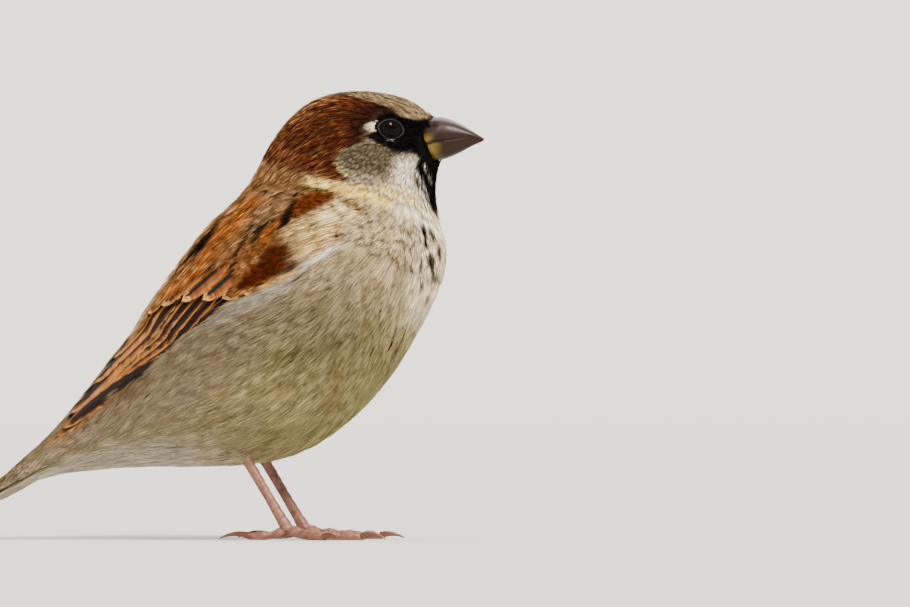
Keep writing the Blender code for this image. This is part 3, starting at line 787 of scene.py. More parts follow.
BACK_STROKES = (  # streaks over the mantle's side
    Stroke("mantle_grey", 2.0, ((-8.0, 66.0), (-12.5, 62.5), (-15.5, 59.0))),
    *strokes(
        "mantle_orange",
        (1.5, ((-14.5, 65.6), (-18.0, 61.5), (-21.5, 58.0), (-24.5, 53.5), (-27.0, 50.0))),
        (1.0, ((-25.5, 51.5), (-29.0, 49.0), (-32.0, 47.0))), (0.8, ((-10.5, 60.5), (-13.5, 57.0))),
    ),
    *strokes(
        "streak",
        (1.05, ((-5.0, 66.0), (-7.6, 63.0), (-9.9, 59.6))), (0.27, ((-11.7, 61.7), (-12.6, 60.2))),
        (0.85, ((-13.1, 60.2), (-14.8, 57.3))), (0.55, ((-14.8, 61.2), (-16.0, 58.5), (-18.4, 54.4))),
        (0.55, ((-20.6, 63.0), (-23.1, 58.5), (-25.0, 56.3))),
        (0.95, ((-22.8, 59.0), (-25.0, 56.5), (-28.2, 53.4))),
        (0.42, ((-27.0, 54.6), (-29.4, 52.3), (-31.6, 48.4))), (0.22, ((-13.4, 66.4), (-15.6, 65.0))),
        (0.22, ((-14.9, 64.5), (-17.0, 62.5))),
    ),
    *strokes(
        "mantle_brown",
        (0.3, ((-17.3, 66.0), (-19.6, 63.8))), (0.4, ((-20.5, 58.5), (-22.5, 55.5))),
    ),
    *strokes(
        "streak",
        (0.3, ((-21.6, 53.9), (-24.2, 51.0), (-26.6, 49.3))), (0.25, ((-25.4, 53.0), (-27.6, 50.6))),
        (0.3, ((-17.6, 53.6), (-20.4, 51.4))), (0.22, ((-18.2, 62.4), (-20.0, 59.8))),
    ),
)

Area = namedtuple("Area", "x z length depth strength")
BELLY_PAINTED_SHADE = Area(-1.0, 42.0, 12.0, 11.5, 0.34)  # painted shade over the belly's side
BREAST_WARMTH = Area(8.5, 56.5, 5.5, 7.5, 0.6)
RAGGED = 0.1  # how far the tufts' own edges stray from the outlines


def profile_of(points):
    """Places of points on the turned side view."""
    ahead = points[:, 0] * math.cos(PROFILE_TURN) - np.abs(points[:, 1]) * math.sin(PROFILE_TURN)
    return np.stack([ahead, points[:, 2]], -1)


def distance_to(places, points):
    """Distances on the side view to a line through points, and how far along it, 0 to 1."""
    best = np.full(len(places), 1e9)
    along = np.zeros(len(places))
    total = len(points) - 1
    for i, (start, end) in enumerate(zip(np.array(points[:-1]), np.array(points[1:]))):
        step = end - start
        t = np.clip(((places - start) @ step) / (step @ step), 0, 1)
        apart = np.linalg.norm(places - start - t[:, None] * step, axis=1)
        closer = apart < best
        best[closer] = apart[closer]
        along[closer] = (i + t[closer]) / total
    return best, along


def inside(places, outline):
    """Which places lie inside a closed outline."""
    odd = np.zeros(len(places), bool)
    x, z = places.T
    for (ax, az), (bx, bz) in zip(outline, outline[1:] + outline[:1]):
        crosses = (az > z) != (bz > z)
        odd ^= crosses & (x < (bx - ax) * (z - az) / (bz - az + 1e-12) + ax)
    return odd


def near_box(places, points, reach):
    """Numbers of the places no further than that from a box round points."""
    low, high = np.min(points, 0) - reach, np.max(points, 0) + reach
    return np.flatnonzero(((places > low) & (places < high)).all(1))


def paint_patch(colours, places, patch):
    """Lays a patch's colour over what it covers, with a soft edge."""
    near = near_box(places, patch.outline, 2 * patch.soft)
    own = places[near]
    edge, _ = distance_to(own, patch.outline + patch.outline[:1])
    depth = np.where(inside(own, patch.outline), edge, -edge)
    colours[near] = mixed(colours[near], hue(patch.colour), smooth(-patch.soft, patch.soft, depth))


def paint_stroke(colours, places, stroke, strength):
    """Lays a tapering streak, as strongly as that at each place."""
    near = near_box(places, stroke.points, 2.5 * stroke.radius)
    away, along = distance_to(places[near], stroke.points)
    radius = stroke.radius * (0.55 + 0.45 * np.sin(math.pi * np.clip(along * 1.1, 0, 1)))
    share = (1 - smooth(0.6 * radius, 1.3 * radius, away)) * strength[near]
    colours[near] = mixed(colours[near], hue(stroke.colour), share)


# Stations where parts of the plumage end or begin.
CROWN_END, NECK_END, FLANK_START, BELLY_START, RUMP_START, VENT_START = 5.2, 7.4, 8.6, 10.4, 11.8, 13.4
WING_EDGES = (  # station, upper edge and lower edge as angles, of the folded wing
    (7, 72, 74), (8, 27, 95), (9, 20, 91), (10, 17, 77), (11, 13, 67), (12, 9, 63),
    (13, 8, 62), (14, 10, 61), (15, 20, 67), (16, 38, 80), (17, 60, 84),
)


def on_folded_wing(stations, angles, inset):
    """Which places lie on the folded wing, further in than inset degrees from its edges."""
    station, upper, lower = np.array(WING_EDGES, float).T
    high = np.interp(stations, station, upper)
    low = np.interp(stations, station, lower, left=0, right=0)
    return (stations > NECK_END) & (angles > high + inset) & (angles < low - inset)


BACK_ROW_ANGLE = 9.5  # from one row of streaks on top of the mantle to the next


def paint_back(colours, points, places, stations, angles):
    """The mantle: orange brown, fringed buff and brown, with black streaks, in even rows on top."""
    on_wing = on_folded_wing(stations, angles, 6) & (stations > 8.8) & (stations < 13.5)
    on_top = (stations > 7.0) & (stations < 12.2) & (angles < 30)
    back = np.flatnonzero((inside(places, MANTLE) | on_wing | on_top) & ~on_tail_coverts(points))
    spots, stations, angles = points[back], stations[back], angles[back]
    base = washed(
        hue("mantle"),
        ("mantle_buff", smooth(0.0, 1.3, mottle(spots, 3.2, 3)) * 0.6),
        ("mantle_brown", smooth(0.2, 1.2, mottle(spots, 2.4, 4)) * 0.6),
    )
    on_side = smooth(20, 29, angles)
    for stroke in BACK_STROKES:
        paint_stroke(base, places[back], stroke, on_side)
    rows = np.cos(2 * math.pi * (angles / BACK_ROW_ANGLE + 0.15 * mottle(spots, 9.0, 6)))
    broken = smooth(-0.5, 0.3, mottle(spots, 6.0, 8)) * smooth(7.4, 8.2, stations)
    broken = broken * smooth(RUMP_START, 11.0, stations)
    colours[back] = washed(
        base,
        ("streak", smooth(0.35, 0.8, rows) * broken * (1 - on_side) * 0.9),
        # Pale braces along the back, partly painted light on its lit rim.
        ("mantle_rim", 0.65 * (bell(angles, 17, 6.0) * smooth(7.8, 8.8, stations))),
    )


def off_area(places, area):
    """Squared distances from an area's middle, ahead and in height, 1 at its rim."""
    x, z = places.T
    return ((x - area.x) / area.length) ** 2, ((z - area.z) / area.depth) ** 2


def markings(points, stations, angles, seed=5):
    """The plumage's colours at points, given their stations and angles, in linear light."""
    draw = np.random.default_rng(seed)
    places = profile_of(points)
    places = places + draw.normal(0, RAGGED, places.shape)
    x, z = places.T
    off_middle = np.abs(points[:, 1])
    colours = washed(
        hue("breast"),
        ("belly", smooth(57, 34, z) * 0.9),
        ("buff", smooth(0.1, 1.1, mottle(points, 9.0, 1)) * 0.35),
        ("flank_grey", smooth(0.2, 1.2, -mottle(points, 20.0, 2)) * 0.4),
        ("flank_grey", smooth(112, 88, angles) * smooth(-2, -14, x) * 0.6),
    )
    ahead, height = off_area(places, BELLY_PAINTED_SHADE)
    shade = BELLY_PAINTED_SHADE.strength * np.exp(-((ahead + height) ** 1.5))
    # Painted shade over the belly's side, painted light towards the breast's front, and lighter towards the
    # bottom.
    colours = colours * (1 - shade + 0.2 * smooth(36, 27, z) + 0.1 * smooth(10, 16, x))[:, None]
    ahead, height = off_area(places, BREAST_WARMTH)
    colours = washed(
        colours,
        ("breast_warm", BREAST_WARMTH.strength * np.exp(-ahead - height)),
        ("vent", smooth(11.5, 13.5, stations) * smooth(95, 130, angles)),
        ("rump", smooth(11.6, 12.8, stations) * smooth(75, 55, angles)),
    )
    paint_back(colours, points, places, stations, angles)
    for patch in PATCHES:
        paint_patch(colours, places, patch)
    middle = smooth(3.2, 1.8, off_middle) * smooth(2.2, 3.2, stations) * smooth(7.6, 6.6, stations)
    colours = washed(colours, ("nape_line", middle * smooth(60, 30, angles)))
    paint_patch(colours, places, Patch("lesser", 0.5, LESSER))
    off_middle = smooth(1.5, 3.5, off_middle)
    for stroke in STROKES:
        paint_stroke(colours, places, stroke, off_middle)
    return colours


# ---- Plumage of loose barbs ----

Eye = namedtuple("Eye", "x y z")
EYE = Eye(12.4, 6.2, 79.15)
EYE_TURN = math.radians(28.0)  # how far the eyes look ahead of straight sideways
EYE_DIP = math.radians(-4.6)
LID_TILT = math.radians(11.0)  # how far the front of the lids is turned down
RING_HEIGHT = 0.75  # of the lids' ring, as a share of its length

# The edge where feathers stop at the bill: (height, furthest x).
FEATHER_EDGE = (
    (70.0, 60.0), (73.2, 60.0), (73.5, 21.2), (74.6, 19.5), (76.6, 18.7), (78.0, 19.4), (79.4, 20.6),
    (81.3, 21.9), (90.0, 22.0),
)

# A tract of like tufts: its slot, the tufts' spacing, length and half width, their barbs, the knots along a
# barb and its half width, how deep the roots lie, how far the barbs differ in shade, the colour of their
# fringes and the share of dark barbs, which are painted shade of the gaps between tufts.
Tract = namedtuple(
    "Tract", "name slot spacing length half_width barbs knots hair depth contrast fringe dark"
)
TRACTS = (
    Tract("face", "head_feathers", 0.60, 2.3, 0.40, 11, 3, 0.06, 0.35, 0.26, None, 0.05),
    Tract("crown", "head_feathers", 0.75, 3.2, 0.50, 13, 3, 0.065, 0.45, 0.36, None, 0.14),
    Tract("nape", "head_feathers", 0.85, 4.6, 0.50, 15, 4, 0.058, 0.5, 0.50, "chestnut_fringe", 0.20),
    Tract("neck", "neck_feathers", 0.90, 4.2, 0.70, 17, 4, 0.06, 0.5, 0.26, None, 0.06),
    Tract("throat", "neck_feathers", 0.80, 3.6, 0.50, 11, 3, 0.075, 0.5, 0.25, None, 0.05),
    Tract("breast", "body_feathers", 1.20, 7.5, 1.10, 23, 4, 0.065, 0.6, 0.18, None, 0.04),
    Tract("fan", "body_feathers", 0.92, 8.5, 0.68, 19, 4, 0.065, 0.75, 0.45, None, 0.16),
    Tract("flank", "body_feathers", 1.35, 9.5, 1.25, 25, 4, 0.068, 0.6, 0.17, None, 0.04),
    Tract("belly", "body_feathers", 1.60, 9.5, 1.45, 23, 4, 0.078, 0.6, 0.15, None, 0.03),
    Tract("vent", "body_feathers", 1.70, 11.0, 1.70, 23, 4, 0.085, 0.8, 0.18, None, 0.04),
    Tract("mantle", "body_feathers", 1.30, 6.5, 1.15, 21, 4, 0.08, 0.7, 0.34, "mantle_buff", 0.16),
    Tract("shoulder", "body_feathers", 0.95, 3.6, 0.80, 17, 4, 0.07, 0.45, 0.20, None, 0.08),
    Tract("rump", "body_feathers", 1.50, 8.5, 1.4, 21, 4, 0.09, 0.7, 0.20, None, 0.08),
)


def eye_frame(side):
    """Middle of the eye, and its ahead, up and outward directions."""
    sign = SIDES[side]
    level = math.cos(EYE_DIP)
    out = np.array([math.sin(EYE_TURN) * level, sign * math.cos(EYE_TURN) * level, math.sin(EYE_DIP)])
    level_ahead = unit(np.array([sign * out[1], -sign * out[0], 0.0]))
    upright = -sign * np.cross(out, level_ahead)
    ahead = level_ahead * math.cos(LID_TILT) - upright * math.sin(LID_TILT)
    up = upright * math.cos(LID_TILT) + level_ahead * math.sin(LID_TILT)
    return np.array([EYE.x, sign * EYE.y, EYE.z]), ahead, up, out


def from_eye(points, side):
    """How far points are ahead of, above and outside an eye's middle, and those three directions."""
    centre, *axes = eye_frame(side)
    apart = points - centre
    return [apart @ axis for axis in axes], axes


def clear_of_eyes(points):
    """Moves points off the lids, to just beyond the ring's edge."""
    moved = points.copy()
    ring, margin = size("lid_ring"), 1.04
    for side in SIDES:
        (u, v, w), (ahead, up, _) = from_eye(moved, side)
        reach = np.hypot(u / ring, v / (RING_HEIGHT * ring))
        caught = (reach < margin) & (w > 0) & (w < 6)
        push = margin / np.maximum(reach[caught], 0.05) - 1
        moved[caught] += (u[caught] * push)[:, None] * ahead + (v[caught] * push)[:, None] * up
    return moved


# Where the roots of the mantle's loose feathers stop, so that their tips reach the mantle's edge.
SCAPULARS = (
    (-20.2, 70.3), (-15.4, 67.5), (-11.5, 66.9), (-7.7, 67.3), (-5.8, 66.2), (-6.5, 63.8), (-7.7, 62.2),
    (-9.2, 61.0), (-11.4, 60.4), (-13.6, 59.2), (-16.0, 57.2), (-19.0, 55.6), (-22.5, 54.3), (-26.5, 51.8),
    (-30.5, 49.2), (-34.0, 47.2), (-38.0, 46.0), (-40.0, 54.0), (-30.8, 63.6),
)

# How far below level the body's feathers point, in degrees, by angle round the body.
HIND_SLOPES = ((0, 48), (40, 46), (62, 40), (80, 36), (95, 33), (110, 26), (130, 18), (180, 12))
SLOPES = ((0, 52), (40, 52), (62, 42), (78, 24), (92, 26), (105, 36), (125, 48), (150, 60), (180, 64))


BILL_ROOT = (22.5, 0.0, 77.0)  # where the head's feathers fan out from


def lie(points, out, stations, angles):
    """Which way the feathers point at places of the coat."""
    x, y, z = points.T
    ones = np.ones(len(points))
    off_bill = unit(points - BILL_ROOT)
    off_bill[:, 2] -= 0.9 * smooth(79, 70, z) * smooth(-8, 4, x)
    fore_slope, hind_slope = (np.interp(angles, *zip(*rows)) for rows in (SLOPES, HIND_SLOPES))
    hind = smooth(9.5, 13.0, stations)
    slope = np.radians(fore_slope * (1 - hind) + hind_slope * hind)
    along_body = np.stack([-np.cos(slope), 0 * ones, -np.sin(slope)], -1)
    down_throat = unit(np.stack([0.22 * ones, 0.02 * y, -ones], -1))
    body = smooth(2.6, 6.4, stations) * (1 - 0.35 * smooth(60, 110, angles) * smooth(6.4, 4.5, stations))
    front = smooth(118, 150, angles) * smooth(8.5, 5.0, stations) * smooth(14.0, 17.5, x)
    way = mixed(mixed(unit(off_bill), along_body, body), down_throat, front)
    return unit(way - (way * out).sum(-1, keepdims=True) * out)


def on_tail_coverts(points):
    """Which places lie over the tail's base, where its upper coverts grow."""
    x, y, z = points.T
    ends, _, widths = np.array(COVERT_PADDING).T
    half_width = np.interp(-x, -ends, widths)
    return (x < -50) & (x > -65.5) & (np.abs(y) < half_width - 0.2) & (z - tail_height(x) > 0.5)


def tract_of(points, stations, angles):
    """The name of the tract at each place; an empty name where no loose feathers grow."""
    names = np.full(len(points), "breast", dtype="<U12")
    places = profile_of(points)
    off_wing = ~on_folded_wing(stations, angles, 3)
    names[(stations > FLANK_START) & (angles < 122)] = "flank"
    names[(stations > BELLY_START) & (angles >= 122)] = "belly"
    names[stations < NECK_END] = "neck"
    names[stations < CROWN_END] = "crown"
    names[inside(places, CHESTNUT)] = "nape"
    names[inside(places, COLLAR)] = "neck"
    names[inside(places, CHEEK) | inside(places, MASK)] = "face"
    names[inside(places, BIB)] = "throat"
    names[~off_wing] = ""
    on_back = (stations > 7.2) & (stations < RUMP_START) & (angles < 24)
    names[inside(places, SCAPULARS) | on_back] = "mantle"
    names[inside(places, SHOULDER) | inside(places, LESSER) | inside(places, COVERT_ROOTS)] = "shoulder"
    names[inside(places, FLANK_FAN) | inside(places, WING_BEND)] = "fan"
    names[(stations >= RUMP_START) & (angles < 62) & off_wing] = "rump"
    names[(stations > VENT_START) & (angles > 95)] = "vent"
    behind = np.flatnonzero(stations > 12.5)
    spots, _ = flesh_surface().nearest(points[behind])
    reach = np.interp(points[behind, 0], (-60, -56), (0.7, 9.0))
    names[behind[np.linalg.norm(points[behind] - spots, axis=1) > reach]] = ""
    names[on_tail_coverts(points)] = "rump"
    edge = np.interp(places[:, 1], *zip(*FEATHER_EDGE))
    names[points[:, 0] > edge] = ""
    ring = size("lid_ring")
    for side in SIDES:
        (u, v, w), _ = from_eye(points, side)
        names[(np.hypot(u / ring, v / (RING_HEIGHT * ring)) < 1.02) & (w > 0)] = ""
    return names


def thinned(points, spacing):
    """Which points stay when none may be nearer than its spacing to one kept before it."""
    cell = spacing.max()
    keys = np.floor(points / cell).astype(int).tolist()
    around = [(i, j, k) for i in (-1, 0, 1) for j in (-1, 0, 1) for k in (-1, 0, 1)]
    kept, cells = [], {}
    for n, ((x, y, z), (kx, ky, kz), apart) in enumerate(zip(points.tolist(), keys, spacing.tolist())):
        if not apart:
            continue
        near = (other for i, j, k in around for other in cells.get((kx + i, ky + j, kz + k), ()))
        if all((ox - x) ** 2 + (oy - y) ** 2 + (oz - z) ** 2 >= apart**2 for ox, oy, oz in near):
            cells.setdefault((kx, ky, kz), []).append((x, y, z))
            kept.append(n)
    return np.array(kept)


TRIES_PER_SQUARE = 5  # roots tried on each square millimetre
TUFT_SEED, WING_SEED, TAIL_SEED = 11, 41, 43


@functools.cache
def tuft_roots():
    """Roots of all tufts over the coat's outer surface: points, normals, stations, angles and tracts."""
    coat = coat_surface()
    draw = np.random.default_rng(TUFT_SEED)
    corners = coat.points[coat.triangles]
    areas = np.linalg.norm(flat_normals(corners), axis=1) / 2
    faces = draw.choice(len(areas), int(areas.sum() * TRIES_PER_SQUARE), p=areas / areas.sum())
    a, b = np.sqrt(draw.random(len(faces))), draw.random(len(faces))
    shares = np.stack([1 - a, a * (1 - b), a * b], -1)
    points = (corners[faces] * shares[..., None]).sum(1)
    out = coat.out_at(points, faces)
    stations, angles = chart(points)
    names = tract_of(points, stations, angles)
    spacings = {tract.name: tract.spacing for tract in TRACTS}
    kept = thinned(points, np.array([spacings.get(name, 0.0) for name in names.tolist()]))
    return points[kept], out[kept], stations[kept], angles[kept], names[kept]


@functools.cache
def coat_surface():
    """The outer surface of the plumage: the solids' own outside, wings, tail and all."""
    nodes = [*FLESH, *WING_SHELLS["right"], *WING_SHELLS["left"], *TAIL_SHELLS]
    nodes += ["eye_right", "eye_left", "bill_upper", "bill_lower"]
    whole = fused(nodes, voxel=0.7, grow=0.25, evening=5, more=[covert_padding()])
    return Surface(raised_round_eyes(whole.points, height=1.95), whole.triangles)


@functools.cache
def flesh_surface():
    """The outer surface of the flesh alone."""
    return fused(FLESH, voxel=0.6, grow=0.4, evening=8)


def raised_round_eyes(points, height):
    """Lifts a surface round each eye to a height over its middle, so that feathers meet the lids."""
    moved = points.copy()
    for side in SIDES:
        (u, v, w), (*_, out) = from_eye(moved, side)
        reach = np.hypot(u, v / RING_HEIGHT) / size("lid_ring")
        rise = (height - w).clip(0, 2) * smooth(2.0, 1.05, reach) * (w > -3)
        moved += rise[:, None] * out
    return moved


SHAFT_KNOTS = 5  # of the line over the coat that a tuft's barbs follow
THIN_END = (14.5, 15.8)  # stations between which the tufts' roots come up, as the coat gets thin


def barb_paths(tract, roots, out, stations, angles, draw):
    """Barbs of tufts as paths: points and normals (tufts, barbs, knots, 3), their shares along the tuft
    and the barbs' places across it."""
    coat = coat_surface()
    tufts = len(roots)
    reach = tract.length * setting("feather_length") * draw.uniform(0.8, 1.2, tufts)
    shaft, shaft_out, ways = (np.empty((tufts, SHAFT_KNOTS, 3)) for _ in range(3))
    place, normal = roots, out
    sway = draw.normal(0, 0.07, tufts)
    for k in range(SHAFT_KNOTS):
        way = lie(place, normal, stations, angles)
        way = unit(way + np.cross(normal, way) * sway[:, None])
        shaft[:, k], shaft_out[:, k], ways[:, k] = place, normal, way
        place, normal = coat.nearest(place + way * (reach / (SHAFT_KNOTS - 1))[:, None])
    across = unit(np.cross(shaft_out, ways))
    # Each barb keeps its place across the tuft, q, and runs along it from start to end, spreading outwards.
    q = np.linspace(-1, 1, tract.barbs)[None] + draw.normal(0, 0.6 / tract.barbs, (tufts, tract.barbs))
    end = (1 - 0.25 * q**2) * draw.uniform(0.55, 1.0, q.shape)
    start = end * (0.05 + 0.3 * draw.random(q.shape))
    p = np.linspace(0, 1, tract.knots)
    t = start[..., None] + (end - start)[..., None] * p
    lateral = q[..., None] * tract.half_width * (0.45 + 0.55 * p**0.7)
    lateral = lateral + draw.normal(0, 0.08 * tract.half_width, q.shape)[..., None] * p
    at = np.clip(t, 0, 1) * (SHAFT_KNOTS - 1)
    i = np.minimum(at.astype(int), SHAFT_KNOTS - 2)
    share = (at - i)[..., None]
    rows = np.arange(tufts)[:, None, None]
    middle, beside = (part[rows, i] * (1 - share) + part[rows, i + 1] * share for part in (shaft, across))
    spots = middle + beside * lateral[..., None]
    if tract.slot == "head_feathers":
        spots = clear_of_eyes(spots.reshape(-1, 3)).reshape(spots.shape)
    spots, normals = coat.nearest(spots)
    sink = tract.depth * (1 - t) ** 1.1 + 0.22 * tract.depth * draw.random(q.shape)[..., None]
    sink = sink * np.interp(stations, THIN_END, (1.0, 0.3))[:, None, None]
    return spots - normals * sink[..., None], normals, t, q


BARB_THICKNESS = 0.6  # as a share of the half width


def barb_shape(paths, normals, hair):
    """Closed three-sided tapering barbs along paths: points, faces and the points of each barb."""
    barbs, knots = paths.shape[:2]
    along = unit(np.gradient(paths, axis=1))
    beside = unit(np.cross(normals, along))[:, :-1]
    share = np.linspace(0, 1, knots)
    girth = np.interp(share, (0, 0.35, 0.7, 1), (0.6, 1.0, 0.85, 0.0))[:-1]
    wide = hair[:, None, None] * girth[None, :, None]
    middle, over = paths[:, :-1], normals[:, :-1]
    low = middle - over * (wide * 0.3)
    rings = np.stack([low - beside * wide, low + beside * wide, middle + over * wide * BARB_THICKNESS], 2)
    each = 3 * (knots - 1) + 1
    points = np.concatenate([rings.reshape(barbs, -1, 3), paths[:, -1:]], 1).reshape(-1, 3)
    sides = grid_faces(knots - 1, 3, closed=True)
    last = 3 * (knots - 2)
    ends = np.array([(0, 2, 1)] + [(last + c, last + (c + 1) % 3, each - 1) for c in range(3)])
    starts = (np.arange(barbs) * each)[:, None, None]
    return points, [(sides[None] + starts).reshape(-1, 4), (ends[None] + starts).reshape(-1, 3)], each


PATCH_HALF = 0.0015  # half the size of a tuft's patch on the unwrap
FRINGED = 0.42  # share of the barbs with a fringe's colour
EVENED = 0.25  # how far a barb's colours are evened along it


def unwrap(points, stations, angles):
    """Places on an unwrap of the body: round it and along it, cut open along the belly."""
    round_it = 0.5 + np.sign(points[:, 1] + 1e-9) * angles / 360 * 0.98
    along = 0.01 + 0.98 * stations / (len(BODY_CUTS) - 1)
    return np.stack([round_it, along], -1)


def barb_shades(tract, tufts, draw):
    """How light each barb is against the markings, at random, with some of them darkened as painted shade
    of the gaps between tufts.
    """
    barbs = tufts * tract.barbs
    of_tuft = np.repeat(draw.normal(1, 0.07, tufts), tract.barbs)
    shade = of_tuft * np.exp(draw.normal(0, tract.contrast, barbs))
    # Painted shade: the dark barbs stand in for the shade in gaps between tufts.
    return np.where(draw.random(barbs) < tract.dark, 0.5 * shade, shade).clip(0.25, 2.0)


def grow_tract(tract, roots, out, stations, angles, seed):
    """All tufts of one tract: points, faces, tints and unwrap."""
    draw = np.random.default_rng(seed)
    paths, normals, t, q = barb_paths(tract, roots, out, stations, angles, draw)
    tufts, barbs, knots = t.shape
    total = tufts * barbs
    paths, normals, t = (part.reshape(total, knots, -1) for part in (paths, normals, t))
    hair = tract.hair * setting("barb_width") * draw.uniform(0.75, 1.25, total)
    points, faces, each = barb_shape(paths, normals, hair)
    chart_places = (np.repeat(part, barbs * knots) for part in (stations, angles))
    colours = markings(paths.reshape(-1, 3), *chart_places, seed).reshape(paths.shape)
    colours = (1 - EVENED) * colours + EVENED * colours.mean(1, keepdims=True)
    if tract.fringe:
        lit = (draw.random(total) < FRINGED) * draw.uniform(0.3, 0.9, total)
        ahead, height = profile_of(roots).T
        # The fringes are brightest on the crown and behind the neck, as painted light where the head's top
        # and back are lit, and fade towards the face.
        painted_light = np.maximum(smooth(72, 81, height), smooth(-6, -14, ahead))
        lit = lit * np.repeat((smooth(9.0, -3.0, ahead) * 0.85 + 0.15) * (0.38 + 0.42 * painted_light), barbs)
        lit = lit[:, None] * smooth(0.2, 0.7, t[..., 0])
        colours = mixed(colours, hue(tract.fringe), lit * smooth(0.012, 0.05, colours.mean(-1)))
    colours = colours * barb_shades(tract, tufts, draw)[:, None, None]
    # Painted shade: each barb darker towards its root, under the barbs that cover it.
    colours = colours * (0.5 + 0.5 * smooth(0.0, 0.55, t))
    owner = np.minimum(np.arange(each) // 3, knots - 1)  # the knot that each point of a barb belongs to
    tints = colours[:, owner]
    lean = np.array([-0.04, 0.04, 0.0])[np.arange(each) % 3]
    spots = np.stack([q.reshape(-1, 1) + lean, 2 * t[:, owner, 0] - 1], -1)
    home = np.repeat(unwrap(roots, stations, angles), barbs, 0)[:, None]
    patches = home + spots.clip(-1, 1) * PATCH_HALF
    return points, faces, tints.reshape(-1, 3), patches.reshape(-1, 2)


MOST_TRIANGLES = 190000  # in one piece of the coat


def make_coat(slots):
    """Grows the tracts of these slots as pieces of joined tufts, each under the limit of triangles."""
    roots, out, stations, angles, names = tuft_roots()
    for number, tract in enumerate(TRACTS):
        if tract.slot not in slots:
            continue
        own = np.flatnonzero(names == tract.name)
        triangles = len(own) * tract.barbs * (6 * tract.knots - 8)
        parts = math.ceil(triangles / MOST_TRIANGLES)
        order = own[np.argsort(roots[own, 1], kind="stable")]
        for part, chosen in enumerate(np.array_split(order, parts)):
            points, faces, tints, patches = grow_tract(
                tract, roots[chosen], out[chosen], stations[chosen], angles[chosen], 100 * number + part
            )
            label = f"coat_{tract.name}" + (f"_{part + 1}" if parts > 1 else "")
            piece(label, points, faces, down_finish(), tints=tints, patches=patches)


# ---- Skin and lids ----

# How deep the skin lies under the tips of the coat: (station, depth).
SKIN_DEPTHS = (
    (0.0, 0.5), (2.0, 0.55), (4.5, 0.7), (7.0, 1.0), (8.5, 1.3), (12.0, 1.3), (14.0, 1.0), (15.0, 0.6),
    (16.0, 0.3),
)
LEG_DEPTH = 0.6  # and over the legs
END_SHARE = 0.85  # size of the skin's thin end over the tail's root, as a share of the flesh's
# The lids' folds: (share of the way from the opening to the ring's edge, height over the eye's middle).
LID_FOLDS = (
    (-0.16, 1.90), (-0.06, 2.16), (0.04, 2.27), (0.14, 2.24), (0.26, 2.10), (0.42, 2.02), (0.56, 2.00),
    (0.68, 2.02), (0.80, 2.12), (0.92, 2.12), (1.04, 1.98), (1.18, 1.70), (1.4, 1.2), (1.5, 0.9),
)
LID_SIDES = 72
LID_THICKNESS = 0.35
LID_CRINKLES = 26  # fine folds round a lid


def lid_shape(side):
    """The lids round one eye as a closed ring of folds, and each point's share of the way outwards."""
    centre, ahead, up, out = eye_frame(side)
    opening, ring = size("lid_opening"), size("lid_ring")
    turn = turns(LID_SIDES)
    corner = 0.09 * np.abs(np.cos(turn)) ** 12  # how far the eye's corners are drawn out
    rings = []
    for share, height in LID_FOLDS:
        reach = opening + (ring - opening) * share
        crinkle = 0.02 * np.sin(LID_CRINKLES * turn + 9 * share) * (0 < share < 1)
        u = reach * np.cos(turn) * (1 + corner * max(share, 0))
        v = reach * np.sin(turn) * (1 - (1 - RING_HEIGHT) * np.clip(1.1 * share, 0, 1) ** 0.5)
        w = height + crinkle - 0.05 * (u / 2.5) ** 2
        rings.append(centre + u[:, None] * ahead + v[:, None] * up + w[:, None] * out)
    rings = np.array(rings)
    rings = np.concatenate([rings, rings[::-1] - out * LID_THICKNESS])
    rows = len(rings)
    faces = grid_faces(rows, LID_SIDES, closed=True)
    i = np.arange(LID_SIDES)
    following = (i + 1) % LID_SIDES
    last = (rows - 1) * LID_SIDES
    faces = np.concatenate([faces, np.stack([last + i, last + following, following, i], -1)])
    if side == "left":
        faces = faces[:, ::-1]
    shares = [share for share, _ in LID_FOLDS]
    return rings.reshape(-1, 3), faces, np.repeat(shares + shares[::-1], LID_SIDES)


def lid_tints(shares):
    """Dark lids with a grey rim at the opening and another at the ring's edge."""
    rim = 0.15 * bell(shares, 0.05, 0.08) + 0.8 * bell(shares, 0.86, 0.06)
    return washed(hue("lid"), ("lid_rim", rim.clip(0, 1)))


def make_skin():
    """One skin under the coat, drawn in over the tail's root, with a ring of lids round each eye."""
    flesh = flesh_surface()
    points = flesh.points
    stations, angles = chart(points)
    depth = np.interp(stations, *zip(*SKIN_DEPTHS)) * setting("coat_depth")
    x, off_middle, z = points[:, 0], np.abs(points[:, 1]), points[:, 2]
    depth[(z < 22) & (off_middle > 4.5) & (x < -6) & (x > -19)] = LEG_DEPTH
    middle = cut_at(stations)[0]
    core = np.stack([middle[:, 0], np.zeros(len(points)), middle[:, 1]], -1)
    drawn_in = core + (points - core) * END_SHARE
    points = mixed(points - flesh.normals * depth[:, None], drawn_in, smooth(VENT_START, 14.4, stations))
    points = raised_round_eyes(points, height=1.5)
    shapes = [(points, [flesh.triangles])]
    # The skin's tints are painted shade, for the shade under the coat's feathers.
    tints = [markings(points, stations, angles) * 0.7]  # darker than the coat that covers it
    for side in SIDES:
        lid_points, quads, shares = lid_shape(side)
        shapes.append((lid_points, [quads]))
        tints.append(lid_tints(shares))
    points, faces = joined(shapes)
    skin = bumpy_finish(
        "bare_skin", roughness=0.8, specular=0.05, fleck=0.2, fleck_size=0.4, bump_size=0.25, rise=0.05
    )
    piece("skin", points, faces, skin, FLESH, tints=np.concatenate(tints))


# ---- Eyes ----


